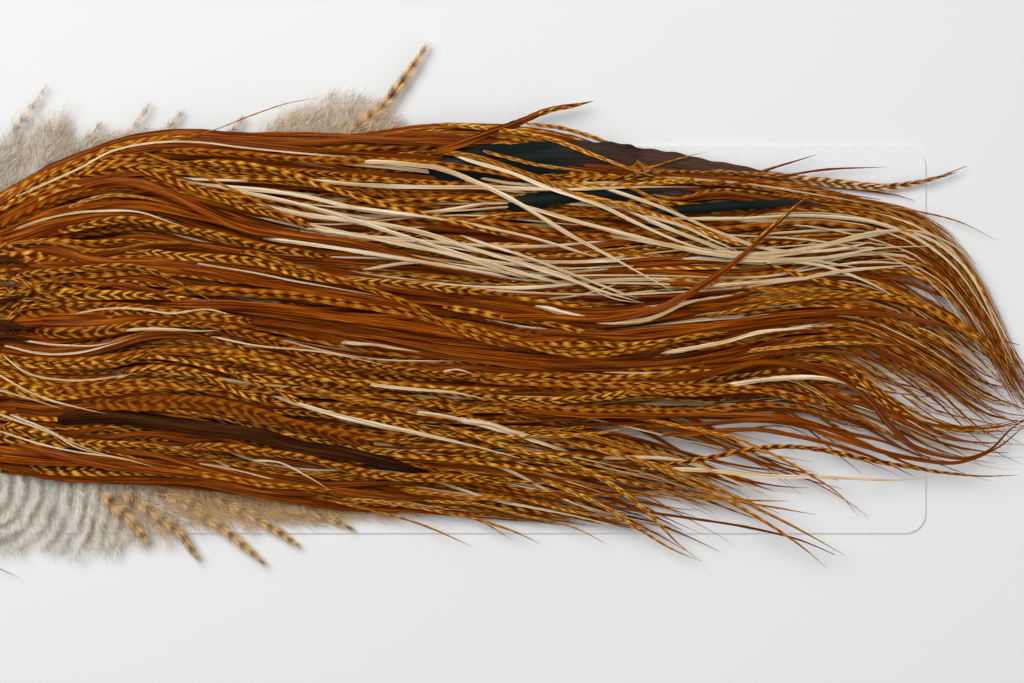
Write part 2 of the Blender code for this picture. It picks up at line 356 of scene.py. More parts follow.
@dataclass(frozen=True)
class PlainHackle:
    """A hackle of one colour: rust brown, cream or black-brown.

    Its keratin barbs lie close together, which the eye sees as fine glossy streaks. Purple-grey patches of
    painted sheen stand in for the light's reflection on the barbs.
    """

    name: str
    dark: str
    middle: str
    light: str
    quill: str
    roughness: float
    tone_spread: float
    # The painted sheen: a purple-grey colour put where the barbs would reflect the soft light, and the most
    # of it that shows
    sheen: str = "#8A625C"
    painted_sheen_share: float = 0.0
    quill_half: float = 0.075
    relief: float = 0.16 * MM

    def material(self) -> bpy.types.Material:
        """Builds the material."""
        material, tree, shader = new_material(self.name)
        strand = strand_sockets(tree)
        lines = streaks(tree, strand, 5.2, 22.0)
        colour = ramp_of(tree, lines, [(0.37, self.dark), (0.50, self.middle), (0.62, self.light)])
        level = math_of(
            tree, "MULTIPLY_ADD", chance_of(tree, strand), self.tone_spread, 1.0 - self.tone_spread * 0.55
        )
        on_quill = math_of(tree, "LESS_THAN", strand.side, self.quill_half)
        quill_share = math_of(tree, "MULTIPLY", on_quill, 0.55)
        quilled = blended(tree, quill_share, valued(tree, colour, level), linear(self.quill))
        # Painted sheen: purple-grey patches along broad streaks, standing in for the light's reflection on
        # the glossy barbs
        painted_sheen_mask = ranged(tree, streaks(tree, strand, 1.3, 46.0), (0.54, 0.72), (0.0, self.painted_sheen_share))
        with_painted_sheen = blended(tree, painted_sheen_mask, quilled, linear(self.sheen))
        finish_vane(tree, shader, with_painted_sheen, self.roughness, lines, self.relief)
        return material


@dataclass(frozen=True)
class BarredHackle:
    """A golden hackle with dark bars that run out from the quill with the barbs.

    Bars that are dark at the quill and golden at the edge read as a ladder, and bars that are dark
    right across read as an ear of wheat.
    """

    name: str = "barred golden hackle"
    amber: str = "#8E4000"
    gold: str = "#C4790A"
    bright: str = "#E8B44C"
    dark: str = "#200A00"
    bar: str = "#5A2200"
    brown: str = "#8A3E00"
    quill: str = "#4A1E00"
    roughness: float = 0.45
    slant_mm: float = 2.0
    slant_mm_by_edge: float = 2.6
    softness: float = 0.22
    quill_half: float = 0.10
    relief: float = 0.16 * MM

    def turns(
        self, tree: bpy.types.NodeTree, strand: StrandSockets, lines: bpy.types.NodeSocket
    ) -> bpy.types.NodeSocket:
        """Counts the bars along the feather, swayed a little and not quite level on both sides."""
        wobble = streaks(tree, strand, 0.7, 14.0)
        swayed = math_of(tree, "MULTIPLY_ADD", wobble, 8.0, strand.along)
        swayed = math_of(tree, "MULTIPLY_ADD", lines, 2.0, swayed)
        slant = math_of(tree, "MULTIPLY_ADD", strand.at_edge, self.slant_mm_by_edge, self.slant_mm)
        slanted = math_of(tree, "SUBTRACT", swayed, math_of(tree, "MULTIPLY", strand.side, slant))
        far_side = math_of(tree, "GREATER_THAN", strand.across, 0.0)
        lag = math_of(tree, "MULTIPLY", chance_of(tree, strand, 11.7), 0.5)
        offset = math_of(tree, "MULTIPLY", far_side, lag)
        turns = math_of(tree, "ADD", math_of(tree, "DIVIDE", slanted, strand.pitch), offset)
        return math_of(tree, "MULTIPLY_ADD", strand.number, 71.0, turns)

    def material(self) -> bpy.types.Material:
        """Builds the material."""
        material, tree, shader = new_material(self.name)
        strand = strand_sockets(tree)
        lines = streaks(tree, strand, 3.6, 9.0)
        away = away_from_bar(tree, self.turns(tree, strand, lines))
        reach = math_of(tree, "SUBTRACT", strand.at_edge, strand.at_quill)
        half = math_of(tree, "MULTIPLY_ADD", reach, strand.side, strand.at_quill)
        step = math_of(tree, "DIVIDE", math_of(tree, "SUBTRACT", half, away), self.softness)
        dark_share = ranged(tree, step, (-0.5, 0.5), (0.0, 1.0), smooth=True)
        stops = [(0.15, self.amber), (0.55, self.gold), (0.92, self.bright)]
        golden = ramp_of(tree, math_of(tree, "MULTIPLY", away, 2.0), stops)
        dull_share = ranged(tree, lines, (0.60, 0.38), (0.0, 0.8))
        streaked = blended(tree, dull_share, golden, linear(self.amber))
        rust_share = ranged(tree, chance_of(tree, strand, 7.3), (0.25, 1.0), (0.0, 0.85))
        rusted = blended(tree, rust_share, streaked, linear(self.brown))
        contrast = math_of(tree, "MULTIPLY_ADD", chance_of(tree, strand, 3.1), 0.35, 0.63)
        bar_share = math_of(tree, "MULTIPLY", dark_share, contrast)
        bars = blended(tree, bar_share, rusted, linear(self.bar))
        near_quill = ranged(tree, strand.side, (0.12, 0.62), (1.0, 0.0))
        barred = blended(tree, math_of(tree, "MULTIPLY", bar_share, near_quill), bars, linear(self.dark))
        on_quill = math_of(tree, "LESS_THAN", strand.side, self.quill_half)
        quilled = blended(tree, math_of(tree, "MULTIPLY", on_quill, 0.6), barred, linear(self.quill))
        level = math_of(tree, "MULTIPLY_ADD", chance_of(tree, strand), 0.24, 0.86)
        finish_vane(tree, shader, valued(tree, quilled, level), self.roughness, lines, self.relief)
        return material


@dataclass(frozen=True)
class SheenFeather:
    """A broad dark feather: green-black with an oily gloss, turning brown and then barred at its end."""

    name: str = "dark sheen feather"
    green: str = "#0C1814"
    brown: str = "#4A3028"
    tan: str = "#B98A55"
    bar: str = "#2A1509"
    roughness: float = 0.36
    gloss: float = 0.12
    slant_mm: float = 2.4
    brown_from_mm: float = 60.0
    barred_from_mm: float = 160.0
    relief: float = 0.14 * MM

    def material(self) -> bpy.types.Material:
        """Builds the material."""
        material, tree, shader = new_material(self.name)
        strand = strand_sockets(tree)
        lines = streaks(tree, strand, 7.0, 14.0)
        slanted = slanted_along(tree, strand, self.slant_mm)
        away = away_from_bar(tree, math_of(tree, "DIVIDE", slanted, strand.pitch))
        bar_share = ranged(tree, away, (0.16, 0.26), (1.0, 0.0))
        ending = blended(tree, bar_share, linear(self.tan), linear(self.bar))
        brown_span = (self.brown_from_mm - 22.0, self.brown_from_mm + 10.0)
        bars_span = (self.barred_from_mm - 12.0, self.barred_from_mm + 22.0)
        brown_share = ranged(tree, strand.along, brown_span, (0.0, 1.0))
        ending_share = ranged(tree, strand.along, bars_span, (0.0, 1.0))
        early = blended(tree, brown_share, linear(self.green), linear(self.brown))
        colour = blended(tree, ending_share, early, ending)
        level = math_of(tree, "MULTIPLY_ADD", lines, 2.4, -0.2)
        tree.links.new(valued(tree, colour, level), shader.inputs["Base Color"])
        shader.inputs["Roughness"].default_value = self.roughness
        shader.inputs["Specular IOR Level"].default_value = self.gloss
        feather_relief(tree, shader, lines, self.relief)
        return material


@dataclass(frozen=True)
class Down:
    """Plumulaceous down: matt and very fine, white with grey bands, or golden tan with brown ones.

    The bars attribute's last number says how tan a plume is, and the strand attribute's second one
    runs from 0 at a barb's root to 1 at its end.
    """

    name: str = "banded down"
    pale: str = "#F2EDE2"
    band: str = "#837560"
    tan: str = "#6E3C0C"
    tip: str = "#E2BA80"
    end: str = "#E6CFA8"
    pitch_mm: float = 4.4
    unevenness_mm: float = 5.0

    def material(self) -> bpy.types.Material:
        """Builds the material."""
        material, tree, shader = new_material(self.name)
        strand = strand_sockets(tree)
        place = add_node(tree, "ShaderNodeTexCoord", {}, {}).outputs["Object"]
        mottle = noise_of(tree, place, 190.0, 4.0, 0.7)
        uneven = math_of(tree, "MULTIPLY_ADD", mottle, self.unevenness_mm, strand.along)
        away = away_from_bar(tree, math_of(tree, "DIVIDE", uneven, self.pitch_mm))
        depth = math_of(tree, "MULTIPLY_ADD", mottle, 1.5, 0.05)
        band_share = ranged(tree, away, (0.0, 0.46), (depth, 0.0), smooth=True)
        white = blended(tree, band_share, linear(self.pale), linear(self.band))
        golden = blended(tree, band_share, linear(self.tip), linear(self.tan))
        body = blended(tree, strand.at_edge, white, golden)
        end_share = math_of(tree, "MULTIPLY", math_of(tree, "POWER", strand.across, 2.5), 0.75)
        colour = blended(tree, end_share, body, linear(self.end))
        level = math_of(tree, "MULTIPLY_ADD", chance_of(tree, strand), 0.25, 0.88)
        tree.links.new(valued(tree, colour, level), shader.inputs["Base Color"])
        shader.inputs["Roughness"].default_value = 0.85
        shader.inputs["Sheen Weight"].default_value = 0.3
        return material


@dataclass(frozen=True)
class DriedHide:
    """Dried skin: amber parchment with pores and creases."""

    name: str = "dried hide"
    dark: str = "#8A6A45"
    light: str = "#C9A77C"
    roughness: float = 0.55
    relief: float = 0.3 * MM

    def material(self) -> bpy.types.Material:
        """Builds the material."""
        material, tree, shader = new_material(self.name)
        place = add_node(tree, "ShaderNodeTexCoord", {}, {}).outputs["Object"]
        creases = noise_of(tree, place, 180.0, 6.0, 0.6)
        pores = add_node(tree, "ShaderNodeTexVoronoi", {}, {"Vector": place, "Scale": 420.0})
        colour = ramp_of(tree, creases, [(0.3, self.dark), (0.7, self.light)])
        tree.links.new(colour, shader.inputs["Base Color"])
        shader.inputs["Roughness"].default_value = self.roughness
        height = math_of(tree, "MULTIPLY_ADD", pores.outputs[0], 0.5, creases)
        feather_relief(tree, shader, height, self.relief)
        return material


@dataclass(frozen=True)
class CoatedCard:
    """Coated board: bright white, faintly satin, with the slight mottling of its fibres."""

    name: str = "coated card"
    white: str = "#EDEDEE"
    mottle: str = "#E8E8E9"
    relief: float = 0.03 * MM

    def material(self) -> bpy.types.Material:
        """Builds the material."""
        material, tree, shader = new_material(self.name)
        place = add_node(tree, "ShaderNodeTexCoord", {}, {}).outputs["Object"]
        fibres = noise_of(tree, place, 700.0, 5.0, 0.7)
        colour = ramp_of(tree, fibres, [(0.35, self.mottle), (0.65, self.white)])
        tree.links.new(colour, shader.inputs["Base Color"])
        rough = math_of(tree, "MULTIPLY_ADD", fibres, 0.16, 0.40)
        tree.links.new(rough, shader.inputs["Roughness"])
        feather_relief(tree, shader, fibres, self.relief)
        return material


# How each kind of feather is finished, in the order in which the pieces are made
FINISHES = {
    # The rust brown hackle's last two values, #8A5A50 and 0.3, are its painted sheen's colour and share
    Kind.BROWN: PlainHackle(
        "rust brown hackle", "#360C00", "#6E2A02", "#AC5C10", "#240800", 0.40, 0.46, "#8A5A50", 0.3
    ),
    Kind.GRIZZLY: BarredHackle(
        "grizzly hackle", "#A0683A", "#C0915E", "#E2C6A0", "#1C0C04", "#3C2010", "#94602F", "#4A2A14"
    ),
    Kind.DARK: PlainHackle(
        "black-brown hackle", "#160802", "#2C1408", "#4A2210", "#0C0401", 0.40, 0.1
    ),
    Kind.BARRED: BarredHackle(),
    Kind.CREAM: PlainHackle("cream hackle", "#94642A", "#DBBB88", "#FFF2DA", "#A87C42", 0.50, 0.28),
    Kind.GOLD: BarredHackle(
        "faintly barred golden hackle",
        "#A85A06", "#CC841A", "#F4C86C", "#6A3606", "#9A5410", "#A8620E", "#5C2E00",
    ),
    Kind.SHEEN: SheenFeather(),
}

# The lie of the hackles, as lines of picture points from the upper edge of the pelt to the lower one
FLOW_LINES = (
    (
        (-300, 250), (-200, 228), (-100, 210), (0, 194), (60, 163), (100, 149), (140, 138), (180, 133),
        (240, 136), (330, 136), (380, 129), (420, 122), (520, 122), (560, 128), (600, 142), (640, 164),
        (680, 178), (740, 181), (800, 188), (850, 199), (890, 206), (925, 216), (950, 230), (975, 256),
        (995, 288), (1010, 322), (1022, 352), (1040, 396),
    ),
    (
        (-300, 266), (-200, 250), (-100, 230), (0, 205), (50, 178), (100, 159), (150, 151), (200, 150),
        (280, 153), (360, 158), (440, 163), (520, 174), (600, 178), (680, 181), (760, 184), (820, 194),
        (870, 206), (915, 224), (950, 252), (978, 290), (1000, 332), (1018, 372), (1036, 410),
    ),
    (
        (-300, 283), (-200, 270), (-100, 248), (0, 219), (50, 196), (100, 183), (150, 182), (200, 192),
        (260, 201), (330, 206), (400, 206), (470, 205), (540, 205), (600, 208), (680, 211), (760, 213),
        (830, 214), (880, 224), (925, 244), (960, 274), (985, 312), (1005, 352), (1030, 400),
    ),
    (
        (-300, 299), (-200, 288), (-100, 262), (0, 237), (50, 217), (100, 209), (150, 212), (200, 226),
        (260, 240), (330, 250), (400, 255), (470, 258), (540, 260), (600, 258), (680, 256), (760, 254),
        (830, 246), (880, 244), (920, 256), (955, 286), (985, 330), (1012, 376), (1030, 404),
    ),
    (
        (-300, 315), (-200, 306), (-100, 282), (0, 247), (50, 245), (90, 250), (140, 246), (200, 251),
        (260, 262), (330, 270), (400, 277), (470, 284), (540, 290), (600, 290), (680, 285), (760, 279),
        (830, 268), (880, 266), (920, 276), (955, 300), (985, 338), (1020, 386),
    ),
    (
        (-300, 332), (-200, 324), (-100, 304), (0, 276), (50, 272), (100, 272), (150, 274), (200, 281),
        (260, 289), (330, 296), (400, 303), (470, 310), (540, 317), (600, 321), (680, 316), (740, 308),
        (800, 298), (860, 298), (910, 312), (950, 336), (985, 368), (1030, 398),
    ),
    (
        (-300, 348), (-200, 345), (-100, 334), (0, 306), (50, 300), (100, 304), (150, 308), (200, 313),
        (260, 320), (330, 328), (400, 334), (470, 342), (540, 351), (600, 352), (680, 344), (740, 335),
        (800, 323), (850, 324), (900, 342), (940, 366), (985, 392), (1035, 406),
    ),
    (
        (-300, 364), (-200, 366), (-100, 360), (0, 338), (50, 346), (100, 344), (150, 334), (200, 334),
        (260, 346), (330, 358), (400, 366), (470, 372), (540, 378), (600, 379), (680, 375), (740, 370),
        (800, 362), (850, 376), (900, 402), (950, 424), (1000, 434), (1040, 430),
    ),
    (
        (-300, 381), (-200, 387), (-100, 386), (0, 372), (50, 383), (100, 384), (150, 380), (200, 384),
        (260, 395), (330, 403), (400, 407), (470, 409), (540, 407), (600, 406), (680, 406), (740, 408),
        (800, 413), (850, 430), (900, 452), (960, 468), (1035, 480),
    ),
    (
        (-300, 397), (-200, 410), (-100, 414), (0, 406), (50, 411), (100, 409), (150, 408), (200, 412),
        (260, 424), (330, 435), (400, 442), (470, 448), (540, 454), (600, 462), (660, 474), (720, 494),
        (780, 522), (845, 556),
    ),
    (
        (-300, 414), (-200, 432), (-100, 441), (0, 440), (50, 447), (100, 451), (150, 453), (200, 458),
        (260, 468), (330, 479), (400, 487), (470, 496), (540, 507), (600, 519), (660, 537), (705, 559),
    ),
    (
        (-300, 430), (-200, 454), (-100, 468), (0, 473), (50, 478), (100, 481), (160, 485), (220, 492),
        (280, 498), (340, 505), (400, 509), (460, 514), (540, 520), (625, 530),
    ),
)

# How high the feathers pile up along the pelt: (picture x, height above the pelt's floor)
PILE = (
    (-300.0, 4.0 * MM),
    (-200.0, 9.0 * MM),
    (-100.0, 14.0 * MM),
    (20.0, 17.0 * MM),
    (200.0, 19.0 * MM),
    (400.0, 16.0 * MM),
    (600.0, 13.0 * MM),
    (800.0, 10.0 * MM),
    (925.0, 7.0 * MM),
    (1045.0, 3.5 * MM),
)

# The pile's height at the pelt's edges, as a share of its height in the middle
EDGE_PILE = 0.28


def smooth_line(knots: np.ndarray, columns: np.ndarray) -> np.ndarray:
    """Reads a smooth curve through knots, and runs on straight past the last one.

    Args:
        knots: picture points, left to right.
        columns: the picture x of each place to read.

    Returns:
        The picture y at each place.
    """
    xs, ys = knots[:, 0], knots[:, 1]
    slopes = np.gradient(ys, xs)
    span = np.clip(np.searchsorted(xs, columns) - 1, 0, len(xs) - 2)
    width = xs[span + 1] - xs[span]
    t = np.clip((columns - xs[span]) / width, 0.0, 1.0)
    curve = (
        ys[span] * (1.0 - t) ** 2 * (1.0 + 2.0 * t)
        + ys[span + 1] * t**2 * (3.0 - 2.0 * t)
        + slopes[span] * width * t * (1.0 - t) ** 2
        - slopes[span + 1] * width * t**2 * (1.0 - t)
    )
    return curve + np.maximum(columns - xs[-1], 0.0) * slopes[-1]


@dataclass
class Lie:
    """The lie of the hackles: where each row of the pelt runs, and how high the feathers pile up.

    A row is a number from 0 at the picture's upper edge of the pelt to 1 at its lower edge.
    """

    first_column: float = -320.0
    last_column: float = 1160.0
    table: np.ndarray = field(init=False)

    def __post_init__(self) -> None:
        """Reads every flow line once, a pixel apart."""
        columns = np.arange(self.first_column, self.last_column)
        self.table = np.array([smooth_line(np.array(line, float), columns) for line in FLOW_LINES])

    def heights(self, rows: np.ndarray, columns: np.ndarray) -> np.ndarray:
        """Finds the picture y of rows at picture columns.

        Args:
            rows: rows of the pelt, which may pass 0 and 1 a little.
            columns: picture x of the same shape.

        Returns:
            Picture y of the same shape.
        """
        last = len(FLOW_LINES) - 1
        place = rows * last
        upper = np.clip(np.floor(place), 0, last - 1).astype(int)
        share = place - upper
        spot = np.clip(columns - self.first_column, 0, self.table.shape[1] - 2)
        whole = spot.astype(int)
        part = spot - whole
        above = self.table[upper, whole] * (1 - part) + self.table[upper, whole + 1] * part
        below = self.table[upper + 1, whole] * (1 - part) + self.table[upper + 1, whole + 1] * part
        return above + (below - above) * share

    def rows(self, columns: np.ndarray, heights: np.ndarray) -> np.ndarray:
        """Finds the row at each picture point.

        Args:
            columns: picture x.
            heights: picture y.

        Returns:
            The row from 0 to 1.
        """
        marks = np.linspace(0.0, 1.0, len(FLOW_LINES))
        spots = np.clip(columns - self.first_column, 0, self.table.shape[1] - 1).astype(int)
        return np.array([np.interp(y, self.table[:, x], marks) for x, y in zip(spots, heights)])

    def pile(self, rows: np.ndarray, columns: np.ndarray) -> np.ndarray:
        """Finds how high the feathers pile up.

        Args:
            rows: rows of the pelt.
            columns: picture x of the same shape.

        Returns:
            Heights over the pelt's floor, in metres.
        """
        middle = np.interp(columns, [knot[0] for knot in PILE], [knot[1] for knot in PILE])
        across = np.clip(np.abs(2.0 * rows - 1.0), 0.0, 1.0)
        crown = EDGE_PILE + (1.0 - EDGE_PILE) * np.sqrt(np.maximum(1.0 - across**2.6, 0.0))
        return middle * crown


def to_part(columns: np.ndarray, rows: np.ndarray, heights: np.ndarray) -> np.ndarray:
    """Places picture points in the part's frame, each at its own height, as the camera sees it.

    Args:
        columns: picture x.
        rows: picture y.
        heights: Z in metres.

    Returns:
        Points in metres, one more axis than the inputs.
    """
    nearer = 1.0 - heights / CAMERA_HEIGHT
    x = MIDDLE_X + (columns - PHOTO_WIDTH / 2) * PIXEL * nearer
    y = MIDDLE_Y - (rows - PHOTO_HEIGHT / 2) * PIXEL * nearer
    return np.stack([x, y, heights], axis=-1)


@dataclass(frozen=True)
class Patch:
    """A stretch of the pelt where one kind of feather comes to the top: a turned oval of the picture."""

    x: float
    y: float
    half_length: float
    half_width: float
    turn: float = 0.0
    weight: float = 1.0

    def share(self, columns: np.ndarray, rows: np.ndarray) -> np.ndarray:
        """How strongly the patch holds at picture points, from 0 to its weight."""
        angle = math.radians(self.turn)
        dx, dy = columns - self.x, rows - self.y
        along = (dx * math.cos(angle) + dy * math.sin(angle)) / self.half_length
        across = (dy * math.cos(angle) - dx * math.sin(angle)) / self.half_width
        return self.weight * np.exp(-((along**2 + across**2) ** 1.4))


PATCHES = {
    Kind.BROWN: (
        Patch(120, 268, 190, 30, 2),
        Patch(390, 320, 220, 28, 8),
        Patch(670, 325, 140, 18, -3),
        Patch(780, 356, 90, 14, 2),
        Patch(170, 196, 140, 12, 14, 0.9),
        Patch(190, 442, 150, 14, 5, 0.9),
        Patch(90, 474, 160, 9, 3, 0.8),
        Patch(640, 418, 190, 10, 2, 0.9),
        Patch(280, 143, 200, 9, -2, 0.8),
        Patch(820, 428, 120, 10, 20, 0.9),
    ),
    Kind.BARRED: (
        Patch(110, 385, 170, 46, 3),
        Patch(60, 180, 110, 14, -22),
        Patch(190, 182, 120, 12, 16),
        Patch(60, 226, 110, 10, -8, 0.8),
        Patch(320, 182, 170, 10, 6, 0.7),
        Patch(420, 425, 190, 44, 9, 0.9),
        Patch(560, 340, 160, 12, 2, 0.9),
        Patch(680, 392, 170, 14, 1),
        Patch(520, 480, 150, 18, 6, 0.9),
        Patch(620, 225, 150, 18, 2, 0.6),
        Patch(870, 310, 90, 14, 12, 0.8),
    ),
    Kind.CREAM: (
        Patch(440, 243, 220, 28, 14),
        Patch(810, 246, 130, 20, -3),
        Patch(560, 190, 180, 9, 4, 0.7),
        Patch(600, 275, 90, 22, 22, 0.8),
        Patch(650, 478, 90, 10, 16, 0.7),
        Patch(985, 290, 90, 22, 62, 0.8),
        Patch(560, 505, 80, 9, 5, 0.7),
    ),
    Kind.GOLD: (
        Patch(900, 370, 130, 60, 45, 0.8),
        Patch(560, 215, 160, 24, 6, 0.6),
        Patch(720, 490, 110, 30, 22, 0.8),
        Patch(980, 420, 80, 60, 10, 0.8),
        Patch(470, 140, 130, 10, 4, 0.6),
    ),
}

# How far the longest hackles reach: rows, and picture x at each
LONGEST_BY_ROW = (
    (0.0, 0.08, 0.66, 0.70, 0.76, 0.82, 0.90, 1.0),
    (960.0, 1040.0, 1040.0, 970.0, 830.0, 770.0, 700.0, 590.0),
)

# The rows that the hackles gather in towards their tips
LOCK_ROWS = (
    0.02, 0.07, 0.13, 0.17, 0.24, 0.29, 0.36, 0.41, 0.45, 0.53, 0.58, 0.66, 0.71, 0.77, 0.83, 0.88,
    0.94, 0.99,
)

# Openings between the hackles, where the card shows: picture x and y, half length, half height
OPENINGS = (
    (672.0, 192.0, 28.0, 6.0),
    (724.0, 201.0, 36.0, 6.0),
    (928.0, 295.0, 44.0, 12.0),
    (899.0, 310.0, 24.0, 6.0),
    (878.0, 358.0, 24.0, 7.0),
    (842.0, 390.0, 32.0, 11.0),
    (934.0, 391.0, 30.0, 10.0),
    (852.0, 422.0, 38.0, 8.0),
    (780.0, 428.0, 60.0, 7.0),
    (800.0, 449.0, 80.0, 9.0),
    (676.0, 504.0, 30.0, 5.0),
    (505.0, 147.0, 18.0, 4.0),
)

# How many long hackles of each kind are strewn over the card, and their least and greatest widths
LONG_COUNTS = {Kind.BROWN: 400, Kind.BARRED: 270, Kind.CREAM: 150, Kind.GOLD: 200}
LONG_WIDTHS = {
    Kind.BROWN: (0.9 * MM, 2.7 * MM),
    Kind.BARRED: (1.1 * MM, 2.4 * MM),
    Kind.CREAM: (0.5 * MM, 1.4 * MM),
    Kind.GOLD: (0.4 * MM, 1.4 * MM),
}

# How much of a traced width is shown, since neighbours lie over its edges
SHOWN_WIDTHS = {Kind.BARRED: 0.78, Kind.BROWN: 0.85, Kind.CREAM: 0.85, Kind.GOLD: 0.85}

# A bar's pitch in mm, and half its length as a share of the pitch at the quill and at the edge
BAR_STYLES = {
    "ladder": (4.6, 0.44, -0.46),
    "wheat": (3.7, 0.36, 0.08),
    "dashes": (4.2, 0.38, -0.20),
}

# How far the tips of long hackles stray from their row: rows, and picture pixels at each
STRAY_BY_ROW = ((0.0, 0.1, 0.7, 0.8, 1.0), (3.0, 12.0, 20.0, 7.0, 3.0))


@dataclass(frozen=True)
class Traced:
    """One feather that shows by itself, traced through a few picture points.

    Its width is in picture pixels, and a level of 1 is the top of the pile.
    """

    kind: Kind
    width: float
    points: tuple[tuple[float, float], ...]
    end: End = End.TIP
    level: float = 1.0
    bars: str = "wheat"


